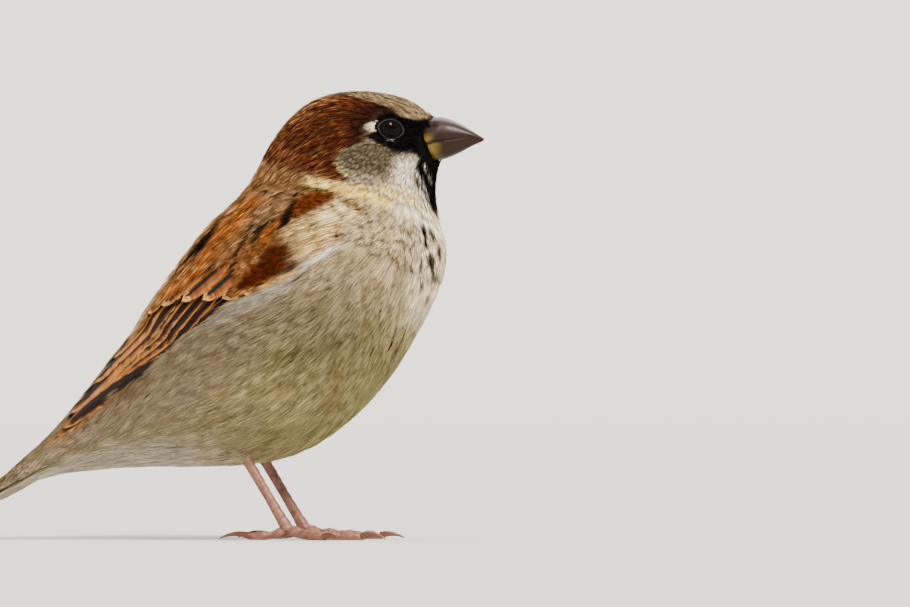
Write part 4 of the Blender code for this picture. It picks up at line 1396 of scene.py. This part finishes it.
def make_eyes():
    """Both eyeballs: wet balls with a slightly bulging front and a dark iris round the pupil."""
    wet = tinted_finish("wet_eye", roughness=0.07, specular=0.06, fleck=0.05, fleck_size=0.3)
    radius = size("eye_radius")
    polar = np.linspace(0, math.pi, 49)[1:-1]
    turn = turns(64)
    bulge = radius + 0.10 * bell(polar, 0, 0.5)
    around, outward = (bulge * wave(polar) for wave in (np.sin, np.cos))
    for side, sign in SIDES.items():
        centre, ahead, up, out = eye_frame(side)
        spoke = np.cos(turn)[:, None] * ahead - sign * np.sin(turn)[:, None] * up
        rings = centre + around[:, None, None] * spoke + outward[:, None, None] * out
        points, faces = tube_shape(rings)
        reach = np.append(np.repeat(polar, len(turn)), [0, math.pi]) * radius
        streak = np.append(np.tile(0.5 + 0.5 * np.sin(turn * 23), len(polar)), [0.5, 0.5])
        iris = smooth(0.72, 0.84, reach) * smooth(1.75, 1.45, reach)
        tints = washed(hue("eye"), ("iris", iris * (0.75 + 0.25 * streak)))
        piece("eyeball_" + side, points, faces, wet, ["eye_" + side], tints=tints)


# ---- Bill ----

RIDGE = ((14.0, 80.4), (20.4, 81.3), (23.2, 80.9), (26.0, 79.6), (28.6, 77.9), (30.1, 76.9))
CUTTING_EDGE = ((14.0, 75.4), (18.4, 75.9), (21.4, 76.7), (24.6, 77.1), (27.6, 77.5), (30.1, 76.9))
KEEL = ((14.0, 73.0), (19.9, 73.2), (22.3, 73.4), (25.2, 74.6), (27.9, 76.1), (29.6, 76.9))
BILL_HALF_WIDTHS = ((2.3,), (3.75,), (3.3,), (2.35,), (1.2,), (0.25,))
BILL_TIP_DEPTH = 0.35
BILL_PARTING = 0.02  # half the gap between the closed halves
NOSTRIL = (20.6, 79.7, 0.75, 0.42)  # x, z, half length and half height


def off_nostril(x, z):
    """Distance on the side view from the nostril's middle, 1 at its rim."""
    return np.hypot((x - NOSTRIL[0]) / NOSTRIL[2], (z - NOSTRIL[1]) / NOSTRIL[3])


def bill_half_shape(arch, way):
    """One half of the bill as rings: an arch over the cutting edge, with a nostril in the upper one.

    With them goes each side's height over the edge, 1 at the arch's top."""
    at = np.linspace(0, len(RIDGE) - 1, 64)
    edge, top = curve_at(CUTTING_EDGE, at), curve_at(arch, at)
    width = curve_at(BILL_HALF_WIDTHS, at)
    turn = turns(44)
    c, s = np.cos(turn), np.sin(turn)
    over = np.maximum(c, 0) ** 0.92
    x = edge[:, :1] + (top - edge)[:, :1] * over
    z = edge[:, 1:] + way * BILL_PARTING + ((top - edge)[:, 1:] - way * BILL_PARTING) * over
    z = z - way * 0.4 * np.minimum(1, width) * np.maximum(-c, 0) ** 1.5
    y = width * np.sign(s) * np.abs(s) ** 0.94
    if way < 0:
        y = y * 0.95
    else:
        y = y * (1 - 0.14 * bell(off_nostril(x, z), 0, 1))
    return np.stack([x, y, z], -1), over


def bill_tints(points, high, way):
    """Horn: grey brown above with a yellow gape and a painted highlight along the ridge, brown below with a
    yellow base, with painted shade along the cutting edge where the halves meet.
    """
    x, z = points[:, 0], points[:, 2]
    if way > 0:
        colours = washed(
            hue("bill_upper"),
            # Painted highlight along the ridge.
            ("culmen", smooth(0.84, 1.0, high) * 0.8),
            ("gape", smooth(21.4, 19.2, x) * smooth(0.5, 0.1, high) * 0.9),
            ("mask", smooth(1.1, 0.5, off_nostril(x, z)) * 0.8),
        )
    else:
        colours = washed(
            hue("bill_lower"),
            ("gape", smooth(22.8, 20.2, x) * 0.7),
            ("bill_upper", smooth(21.5, 26.0, x) * 0.6),
        )
    colours = washed(colours, ("bill_tip", smooth(26.8, 29.6, x) * 0.9))
    # Painted shade: both halves darken along the cutting edge, in the gap where they meet.
    return mixed(colours, hue("bill_tip") * 0.3, smooth(0.16, 0.02, high) * 0.9)


def make_bill():
    """Both halves of the bill, nearly closed on each other."""
    horn = bumpy_finish(
        "horn", roughness=0.4, specular=0.16, fleck=0.12, fleck_size=0.8, bump_size=0.6, rise=0.03,
        gloss=0.03,
    )
    last = len(RIDGE) - 1
    ridge = [(x, z + BILL_TIP_DEPTH * i / last) for i, (x, z) in enumerate(RIDGE)]
    keel = [(x, z - BILL_TIP_DEPTH * i / last) for i, (x, z) in enumerate(KEEL)]
    for half, arch, way in (("upper", ridge, 1), ("lower", keel, -1)):
        rings, over = bill_half_shape(arch, way)
        if way < 0:
            rings, over = rings[:, ::-1], over[::-1]
        points, faces = tube_shape(rings)
        tints = bill_tints(points, np.append(np.tile(over, len(rings)), [0.5, 0.5]), way)
        made = piece("horn_" + half, points, faces, horn, ["bill_" + half], tints=tints)
        made.data.set_sharp_from_angle(angle=math.radians(50))


# ---- Legs and claws ----

FOOT = (-6.6, 9.0)  # where the toes meet: x, and y on the left side
FOOT_JOINT_Z = 1.9
ANKLE = (-16.0, 17.6)
CLAW_RADIUS = 0.62
FLOOR_GAP = 0.02
Toe = namedtuple("Toe", "name length heading knuckles claw")
TOES = (
    Toe("middle", 15.0, 4, 4, 4.7),
    Toe("inner", 10.0, -28, 3, 4.0),
    Toe("outer", 10.4, 36, 3, 4.0),
    Toe("hind", 7.6, 177, 2, 6.0),
)


def limb_rings(path, radii, sides=20, scute=0.0, scute_length=1.2):
    """Rings round a limb along a path, with overlapping scales on its upper side."""
    along = unit(np.gradient(path, axis=0))
    beside = unit(np.cross(along, (0, 0, 1.0)))
    over = unit(np.cross(beside, along))
    turn = turns(sides)
    reach = np.append(0, np.cumsum(np.linalg.norm(np.diff(path, axis=0), axis=1)))
    step = (reach / scute_length) % 1.0  # share of the way along each scale, which rises to its end
    raised = scute * (1 - (1 - step) ** 6) * (0.4 + 0.6 * step)
    radius = radii[:, None] + raised[:, None] * smooth(-0.2, 0.35, np.cos(turn))
    high, wide = radius * np.cos(turn), radius * np.sin(turn)
    rings = path[:, None] + (high[..., None] * over[:, None] + wide[..., None] * beside[:, None])
    rings[..., 2] = np.maximum(rings[..., 2], FLOOR_GAP)
    return rings


def toe_way(toe, sign):
    heading = math.radians(toe.heading)
    return np.array([math.cos(heading), sign * math.sin(heading), 0.0])


def lifted(start, way, reach, height):
    """A path over the floor from a start along a way, at these heights."""
    return start + way * reach[:, None] + np.stack([0 * height, 0 * height, height], -1)


def leg_shapes(sign):
    """The shank and the toes of one leg, each a closed tube."""
    ankle = np.array([ANKLE[0], sign * FOOT[1], ANKLE[1]])
    foot = np.array([FOOT[0], sign * FOOT[1], FOOT_JOINT_Z])
    share = np.linspace(0.02, 1.0, 90)
    swell = np.interp(share, (0.02, 0.1, 0.2, 0.6, 0.85, 1.0), (1.0, 1.28, 1.0, 0.92, 1.05, 1.35))
    shank = ankle + (foot - ankle) * share[:, None]
    rings = limb_rings(shank, swell * size("tarsus_radius"), scute=0.13, scute_length=1.9)
    shapes = [tube_shape(rings)]
    joint = foot * (1, 1, 0)
    for toe in TOES:
        share = np.linspace(0, 1, 70)
        knuckles = 0.12 * np.cos(2 * math.pi * (share * toe.knuckles - 0.35))
        taper = np.interp(share, (0, 0.9, 1.0), (1.1, 0.95, 0.55))
        girth = size("toe_radius") * (0.98 + knuckles) * taper
        height = girth * 0.96 + 1.1 * (1 - share) ** 3
        path = lifted(joint, toe_way(toe, sign), toe.length * share, height)
        shapes.append(tube_shape(limb_rings(path, girth, scute=0.09, scute_length=1.05)))
    return shapes


def claw_shape(toe, sign):
    """One claw, arched from its toe's end down to the floor."""
    share = np.linspace(0, 1, 28)
    height = 0.72 - 0.44 * share + 0.44 * toe.claw * share * (1 - share)
    start = np.array([FOOT[0], sign * FOOT[1], 0.0]) + toe_way(toe, sign) * (toe.length - 0.3)
    path = lifted(start, toe_way(toe, sign), toe.claw * share, height)
    return tube_shape(limb_rings(path, CLAW_RADIUS * (1 - share) ** 0.8 + 0.08, sides=16))


def make_feet():
    """Both legs with their toes, and their claws."""
    scales = bumpy_finish(
        "leg_scales", roughness=0.45, specular=0.4, fleck=0.22, fleck_size=0.6, bump_size=0.3, rise=0.05
    )
    horn = bumpy_finish(
        "claw_horn", roughness=0.3, specular=0.5, fleck=0.15, fleck_size=0.5, bump_size=0.3, rise=0.02,
        gloss=0.2,
    )
    for side, sign in SIDES.items():
        points, faces = joined(leg_shapes(sign))
        tints = washed(
            hue("leg"),
            ("leg_shade", smooth(-0.2, 1.0, mottle(points, 2.2, 7)) * 0.6),
            ("sole", smooth(0.5, 0.0, points[:, 2]) * 0.6),
        )
        nodes = ["tarsus_" + side] + [f"{toe.name}_toe_{side}" for toe in TOES]
        piece("leg_" + side, points, faces, scales, nodes, tints=tints)
        points, faces = joined([claw_shape(toe, sign) for toe in TOES])
        tints = washed(hue("claw"), ("claw_tip", smooth(0.9, 2.0, points[:, 2]) * 0.6))
        nodes = [f"{toe.name}_claw_{side}" for toe in TOES]
        piece("claws_" + side, points, faces, horn, nodes, tints=tints)


# ---- Wing and tail feathers ----

# A web's colours in its middle, at its edge and at its tip, and the share of the half width up to the edge.
Web = namedtuple("Web", "middle edge tip inner")
# A row of like feathers on the folded wing: how many; the station and angle of the root and of the tip, for
# the uppermost feather and the lowest; the half width; how deep the root and the tip lie; and the web.
Row = namedtuple("Row", "count first last half_width depths web")
PRIMARIES = Row(
    7, (11.6, 62, 15.2, 50), (11.4, 80, 16.6, 71), 2.1, (1.0, 0.2),
    Web("flight", "flight_edge", "flight_edge", 0.86),
)
SECONDARIES = Row(
    8, (10.2, 44, 14.4, 30), (9.9, 84, 13.2, 64), 2.3, (1.2, 0.75),
    Web("flight", "flight_edge", "flight_edge", 0.7),
)
TERTIALS = Row(
    3, (10.3, 22, 13.4, 14), (10.5, 40, 15.0, 24), 3.5, (1.1, 0.55),
    Web("flight", "flight_edge", "covert_tip", 0.62),
)
# The greater coverts one by one: station and angle of the root and of the tip, and how broad their black
# middle is.
GREATER_COVERTS = (
    (9.9, 34, 11.5, 25, 0.30), (9.3, 47, 11.05, 34, 0.44), (9.05, 57, 10.65, 46, 0.26),
    (8.95, 66, 10.35, 57, 0.26), (8.85, 74, 10.1, 66, 0.52), (8.8, 81, 9.8, 74, 0.2),
)
COVERT_HALF_WIDTH = 2.5
COVERT_DEPTHS = (0.75, 0.3)  # how deep the root and the tip of the uppermost one lie
LAYER = 0.03  # and how much deeper each next feather lies, in any row
SHAFT_HEIGHT, SHAFT_SHARE = 0.13, 0.07  # of the ridge over a vane, the second as a share of its half width
COMB = 0.018  # how far every other row of barbs stands up
CAMBER = 0.04  # how far a vane's edges curve down, as a share of its half width
EDGE_THICKNESS, MORE_THICKNESS = 0.05, 0.13  # of a vane at its edge, and what its middle has more
NICKS = 0.06  # share of the barbs that end short at a vane's edge
VANE_COLUMNS = np.array((-1, -0.82, -0.6, -0.35, -0.12, -0.04, 0.04, 0.12, 0.35, 0.6, 0.82, 1.0))


def vane_shape(shaft, out, half_width, depths, draw, rows=36, tilt=0.0, tip_round=0.3, surface=None):
    """One closed feather: points, faces, and for each point its share along and its place across.

    Its barbs slant, its edges are a little frayed, and it lies on the surface if one is given."""
    q = VANE_COLUMNS
    columns = len(q)
    share = np.linspace(0, 1, rows)
    slant = 0.55 * half_width / np.linalg.norm(np.diff(shaft, axis=0), axis=1).sum()
    t = share[:, None] + slant * np.abs(q) * (np.sin(math.pi * share) - 0.5 * share)[:, None]
    t = np.clip(t, 0, 1)
    last = len(shaft) - 1
    at = t * last
    middle, normal = curve_at(shaft, at), unit(curve_at(out, at))
    before, after = np.maximum(at - 0.05, 0), np.minimum(at + 0.05, last)
    across = unit(np.cross(normal, unit(curve_at(shaft, after) - curve_at(shaft, before))))
    rounding = np.maximum(share - (1 - tip_round), 0) / tip_round
    spread = np.minimum(1, 0.3 + 2.2 * share) * np.sqrt(np.clip(1 - rounding**2, 0.004, 1))
    ragged = 1 - 0.05 * draw.random((rows, 2)) - 0.16 * (draw.random((rows, 2)) < NICKS)
    fray = np.where(q[None] < 0, ragged[:, :1], ragged[:, 1:])
    lateral = half_width * spread[:, None] * q * (1 - np.abs(q) ** 3 * (1 - fray))
    spots = middle + across * lateral[..., None]
    if surface:
        spots, normal = surface.nearest(spots)
    ridge = SHAFT_HEIGHT * bell(q, 0, SHAFT_SHARE) * (1 - 0.8 * share[:, None])
    comb = COMB * (np.arange(rows) % 2)[:, None]
    depth = depths[0] + (depths[1] - depths[0]) * t
    height = ridge + comb - depth + tilt * q - CAMBER * half_width * q**2
    top = spots + normal * height[..., None]
    thick = EDGE_THICKNESS + MORE_THICKNESS * (1 - np.abs(q))
    bottom = top - normal * (thick[None, :, None] + ridge[..., None] * 0.5)
    under = rows * columns
    upper = grid_faces(rows, columns)
    border = np.concatenate([
        np.arange(columns - 1),
        np.arange(rows - 1) * columns + columns - 1,
        (rows - 1) * columns + np.arange(columns - 1, 0, -1),
        np.arange(rows - 1, 0, -1) * columns,
    ])
    following = np.roll(border, -1)
    rim = np.stack([border, border + under, following + under, following], -1)
    points = np.concatenate([top.reshape(-1, 3), bottom.reshape(-1, 3)])
    faces = [np.concatenate([upper[:, ::-1], upper + under, rim[:, ::-1]])]
    return points, faces, np.tile(t.ravel(), 2), np.tile(q, 2 * rows)


def barb_rows(t, draw, spread):
    """A random value for each row of a vane's barbs, at each of its points."""
    columns = len(VANE_COLUMNS)
    rows = len(t) // (2 * columns)
    return np.tile(np.repeat(draw.normal(0, spread, rows), columns), 2)


def vane_tints(t, q, web, draw):
    """A dark middle that fades to the edge's colour, with each barb a little lighter or darker."""
    edge = smooth(web.inner - 0.14, web.inner + 0.14, np.abs(q) + barb_rows(t, draw, 0.06) + 0.12 * t)
    tip = smooth(0.88, 0.98, t + barb_rows(t, draw, 0.02)) * 0.8
    colours = washed(hue(web.middle), (web.edge, edge), (web.tip, tip))
    colours = mixed(colours, hue(web.middle) * 0.6, bell(q, 0, 0.05) * 0.7)
    return colours * (1 + barb_rows(t, draw, 0.16)).clip(0.5, 1.5)[:, None]


def covert_tints(t, q, lean, broad, draw):
    """An orange brown web with a black middle that tapers to both ends and a pale tip; lean says how far
    forward the feather is, 0 to 1."""
    tip = smooth(0.80, 0.93, t + barb_rows(t, draw, 0.02)) * 0.9
    taper = smooth(0.12, 0.55, t) * smooth(0.95, 0.80, t)
    black = smooth(1.25, 0.8, np.abs(q + barb_rows(t, draw, 0.04)) / np.maximum(broad * taper, 0.01))
    colours = washed(
        hue("covert") * (1 - lean) + hue("covert_front") * lean,
        ("covert_tip", smooth(0.5, 1.0, np.abs(q)) * 0.35),
        ("covert_tip", tip),
        ("streak", black * smooth(0.1, 0.3, t)),
    )
    return colours * (1 + barb_rows(t, draw, 0.18)).clip(0.5, 1.5)[:, None]


def shaft_on(surface, ends, sign):
    """A line over the surface from a root's station and angle to a tip's."""
    share = np.linspace(0, 1, 6)
    stations = ends[0] + (ends[2] - ends[0]) * share
    angles = ends[1] + (ends[3] - ends[1]) * share
    return surface.cast(*outside_of(stations, angles, sign))


Vane = namedtuple("Vane", "shape tints along across")
RIDGES_ALONG, RIDGE_SLANT = 90, 6  # a vane's ridges, and how many of them a barb slants across


def wing_vanes(sign):
    """All long feathers and greater coverts of one wing, from the lowest layer up."""
    coat = coat_surface()
    draw = np.random.default_rng(WING_SEED)
    vanes = []

    def add(ends, half_width, depths, tints_of, tip=0.3):
        shaft, out = shaft_on(coat, ends, sign)
        points, faces, t, q = vane_shape(
            shaft, out, half_width, depths, draw, tilt=-0.14 * sign, tip_round=tip, surface=coat
        )
        vanes.append(Vane((points, faces), tints_of(t, q), t, q))

    for row in (PRIMARIES, SECONDARIES, TERTIALS):
        for i in range(row.count):
            share = i / (row.count - 1)
            ends = [a + (b - a) * share for a, b in zip(row.first, row.last)]
            depths = [depth + LAYER * i for depth in row.depths]
            add(ends, row.half_width, depths, lambda t, q: vane_tints(t, q, row.web, draw))
    for i, (*ends, broad) in enumerate(GREATER_COVERTS):
        lean = i / (len(GREATER_COVERTS) - 1)
        depths = [depth + LAYER * i for depth in COVERT_DEPTHS]
        add(ends, COVERT_HALF_WIDTH, depths, lambda t, q: covert_tints(t, q, lean, broad, draw), 0.5)
    return vanes


def vane_patches(vanes, columns):
    """The unwrap of separate feathers: each in a cell of its own."""
    rows = math.ceil(len(vanes) / columns)
    patches = []
    for i, vane in enumerate(vanes):
        cell = np.stack([0.5 + 0.46 * vane.across, 0.04 + 0.92 * vane.along], -1)
        patches.append((cell + (i % columns, i // columns)) / (columns, rows))
    return np.concatenate(patches)


def vane_piece(name, vanes, nodes, columns):
    """One piece of separate feathers, in a grid of so many columns on the unwrap."""
    points, faces = joined([vane.shape for vane in vanes])
    tints = np.concatenate([vane.tints for vane in vanes])
    ridges = [RIDGES_ALONG * vane.along - RIDGE_SLANT * np.abs(vane.across) for vane in vanes]
    piece(
        name, points, faces, vane_finish(), nodes, tints=tints,
        patches=vane_patches(vanes, columns), ridges=2 * math.pi * np.concatenate(ridges),
    )


def make_wings():
    for side, sign in SIDES.items():
        vane_piece("wing_feathers_" + side, wing_vanes(sign), WING_SHELLS[side], 8)


TAIL_LENGTH = 51.0
TAIL_PAIRS = 6
TAIL_WEB = Web("tail", "tail_edge", "tail_edge", 0.86)
# From one pair to the next outwards: sideways at the root and at the tip, and down.
ROOT_STEP, TIP_STEP, PAIR_DROP = 0.42, 1.32, 0.22


def tail_vanes():
    """The tail feathers from the outermost pair, which lies lowest, to the middle one on top."""
    draw = np.random.default_rng(TAIL_SEED)
    normal = np.array([-math.sin(TAIL_SLOPE), 0.0, math.cos(TAIL_SLOPE)])
    share = np.linspace(0, 1, 9)
    vanes = []
    outermost = TAIL_PAIRS - 1
    for pair in range(outermost, -1, -1):
        for sign in SIDES.values():
            root_y, tip_y = sign * (0.5 + ROOT_STEP * pair), sign * (1.9 + TIP_STEP * pair)
            reach = (TAIL_LENGTH - 0.25 * (outermost - pair) - 0.9 * (pair == outermost)) * share
            level = 0.55 - PAIR_DROP * pair - (0.1 if sign > 0 and pair == 0 else 0)
            x = TAIL_ROOT[0] - reach * math.cos(TAIL_SLOPE)
            z = np.maximum(TAIL_ROOT[1] - reach * math.sin(TAIL_SLOPE), 0.95 - 0.10 * pair)
            shaft = np.stack([x, root_y + (tip_y - root_y) * share**1.1, z], -1) + normal * level
            points, faces, t, q = vane_shape(
                shaft, np.tile(normal, (len(share), 1)), size("tail_feather_width"), (0, 0), draw,
                rows=48, tilt=-0.1 * sign, tip_round=0.12,
            )
            points[:, 2] = np.maximum(points[:, 2], FLOOR_GAP)
            vanes.append(Vane((points, faces), vane_tints(t, q, TAIL_WEB, draw), t, q))
    return vanes


def make_tail():
    vane_piece("tail_feathers", tail_vanes(), TAIL_SHELLS, 4)


# ---- Stage ----

CAMERA_TURN = math.radians(10.0)
LENS, SENSOR = 800.0, 36.0
VIEW_WIDTH = 0.175
VIEW_CENTRE = (0.05069, -0.00325, 0.04548)
FLOOR_RADIUS, FLOOR_CURVE, WALL_HEIGHT = 4.4, 1.2, 3.0
FLOOR_SIDES = 96


def paper_finish():
    """Matt paper with a faint grain."""
    made, colour_socket = flecked_finish(
        "pale_paper", roughness=0.9, specular=0.1, fleck_size=20.0, least=0.98, most=1.0
    )
    colour_socket.default_value = hue("floor")
    return made


def make_floor():
    """A round pale floor that curves up into a wall all round."""
    bend = np.linspace(0, math.pi / 2, 17)
    wall = FLOOR_RADIUS + FLOOR_CURVE
    radii = np.concatenate([[0.4], FLOOR_RADIUS + FLOOR_CURVE * np.sin(bend), [wall]])
    heights = np.concatenate([[0.0], FLOOR_CURVE * (1 - np.cos(bend)), [WALL_HEIGHT]])
    turn = turns(FLOOR_SIDES)
    rim = np.stack([np.cos(turn), np.sin(turn)], -1)
    level = np.ones(FLOOR_SIDES)
    rings = [np.column_stack([radius * rim, height * level]) for radius, height in zip(radii, heights)]
    points = np.concatenate([*rings, [(0.0, 0.0, 0.0)]])
    i = np.arange(FLOOR_SIDES)
    middle = np.stack([np.full(FLOOR_SIDES, len(points) - 1), i, (i + 1) % FLOOR_SIDES], -1)
    quads = grid_faces(len(radii), FLOOR_SIDES, closed=True)[:, ::-1]
    mesh = bare_mesh("floor", points, [quads, middle])
    mesh.materials.append(paper_finish())
    floor = in_scene("floor", mesh)


def soft_light(name, place, spread, power, shade):
    """An even light from a place's direction, as wide as that many degrees."""
    data = bpy.data.lights.new(name, "SUN")
    data.angle, data.energy, data.color = math.radians(spread), power * setting("light"), shade
    light = in_scene(name, data)
    light.location = place
    light.rotation_euler = Vector(place).to_track_quat("Z", "Y").to_euler()


def make_stage():
    """The floor, two lights, the world's even light and the camera."""
    make_floor()
    soft_light("key", (0.62, -0.75, 0.95), spread=18, power=7.6, shade=(1.0, 0.94, 0.84))
    soft_light("top", (0.0, 0.15, 1.2), spread=40, power=2.4, shade=(1.0, 0.97, 0.92))
    world = bpy.data.worlds.new("studio")
    world.use_nodes = True
    world.node_tree.nodes["Background"].inputs["Color"].default_value = (1.0, 0.99, 0.97, 1.0)
    world.node_tree.nodes["Background"].inputs["Strength"].default_value = 0.9
    bpy.context.scene.world = world
    data = bpy.data.cameras.new("camera")
    data.lens, data.sensor_width = LENS, SENSOR
    data.clip_start, data.clip_end = 0.01, 30.0
    camera = in_scene("camera", data)
    back = Vector((math.sin(CAMERA_TURN), -math.cos(CAMERA_TURN), 0.0))
    camera.location = Vector(VIEW_CENTRE) + back * (VIEW_WIDTH * LENS / SENSOR)
    camera.rotation_euler = (-back).to_track_quat("-Z", "Y").to_euler()
    bpy.context.scene.camera = camera


# ---- Operators and panel ----


class SPARROW_OT_stage(bpy.types.Operator):
    """Set up the floor, the lights, the world and the camera"""

    bl_idname = "sparrow.stage"
    bl_label = "Set the Stage"

    def execute(self, context):
        make_stage()
        return {"FINISHED"}


class SPARROW_OT_skin(bpy.types.Operator):
    """Stretch one skin with its lids over the flesh"""

    bl_idname = "sparrow.skin"
    bl_label = "Stretch the Skin"

    def execute(self, context):
        make_skin()
        return {"FINISHED"}


class SPARROW_OT_eyes(bpy.types.Operator):
    """Set both eyeballs"""

    bl_idname = "sparrow.eyes"
    bl_label = "Set the Eyes"

    def execute(self, context):
        make_eyes()
        return {"FINISHED"}


class SPARROW_OT_bill(bpy.types.Operator):
    """Shape both halves of the bill"""

    bl_idname = "sparrow.bill"
    bl_label = "Shape the Bill"

    def execute(self, context):
        make_bill()
        return {"FINISHED"}


class SPARROW_OT_feet(bpy.types.Operator):
    """Shape the legs, toes and claws"""

    bl_idname = "sparrow.feet"
    bl_label = "Shape the Feet"

    def execute(self, context):
        make_feet()
        return {"FINISHED"}


class SPARROW_OT_head_plumage(bpy.types.Operator):
    """Grow the loose feathers of the head and neck"""

    bl_idname = "sparrow.head_plumage"
    bl_label = "Feather the Head"

    def execute(self, context):
        make_coat(("head_feathers", "neck_feathers"))
        return {"FINISHED"}


class SPARROW_OT_body_plumage(bpy.types.Operator):
    """Grow the loose feathers of the body"""

    bl_idname = "sparrow.body_plumage"
    bl_label = "Feather the Body"

    def execute(self, context):
        make_coat(("body_feathers",))
        return {"FINISHED"}


class SPARROW_OT_wings(bpy.types.Operator):
    """Lay the long feathers and coverts of both wings"""

    bl_idname = "sparrow.wings"
    bl_label = "Feather the Wings"

    def execute(self, context):
        make_wings()
        return {"FINISHED"}


class SPARROW_OT_tail(bpy.types.Operator):
    """Lay the twelve tail feathers"""

    bl_idname = "sparrow.tail"
    bl_label = "Feather the Tail"

    def execute(self, context):
        make_tail()
        return {"FINISHED"}


OPERATORS = (
    SPARROW_OT_stage,
    SPARROW_OT_skin,
    SPARROW_OT_eyes,
    SPARROW_OT_bill,
    SPARROW_OT_feet,
    SPARROW_OT_head_plumage,
    SPARROW_OT_body_plumage,
    SPARROW_OT_wings,
    SPARROW_OT_tail,
)


class SPARROW_PT_dressing(bpy.types.Panel):
    """Sizes, colours and steps of the sparrow's dressing"""

    bl_idname = "SPARROW_PT_dressing"
    bl_label = "Sparrow"
    bl_space_type = "VIEW_3D"
    bl_region_type = "UI"
    bl_category = "Sparrow"

    def draw(self, context):
        for operator in OPERATORS:
            self.layout.operator(operator.bl_idname)
        for group in (context.scene.sparrow_sizes, context.scene.sparrow_colours):
            box = self.layout.box()
            for name in group.bl_rna.properties.keys():
                if name not in ("rna_type", "name"):
                    box.prop(group, name)


CLASSES = (SparrowSizes, SparrowColours, *OPERATORS, SPARROW_PT_dressing)


def register():
    for cls in CLASSES:
        bpy.utils.register_class(cls)
    bpy.types.Scene.sparrow_sizes = PointerProperty(type=SparrowSizes)
    bpy.types.Scene.sparrow_colours = PointerProperty(type=SparrowColours)


def unregister():
    del bpy.types.Scene.sparrow_colours
    del bpy.types.Scene.sparrow_sizes
    for cls in reversed(CLASSES):
        bpy.utils.unregister_class(cls)


def main():
    """Dresses the bird."""
    register()
    for operator in OPERATORS:
        group, name = operator.bl_idname.split(".")
        getattr(getattr(bpy.ops, group), name)()


if __name__ == "__main__":
    main()
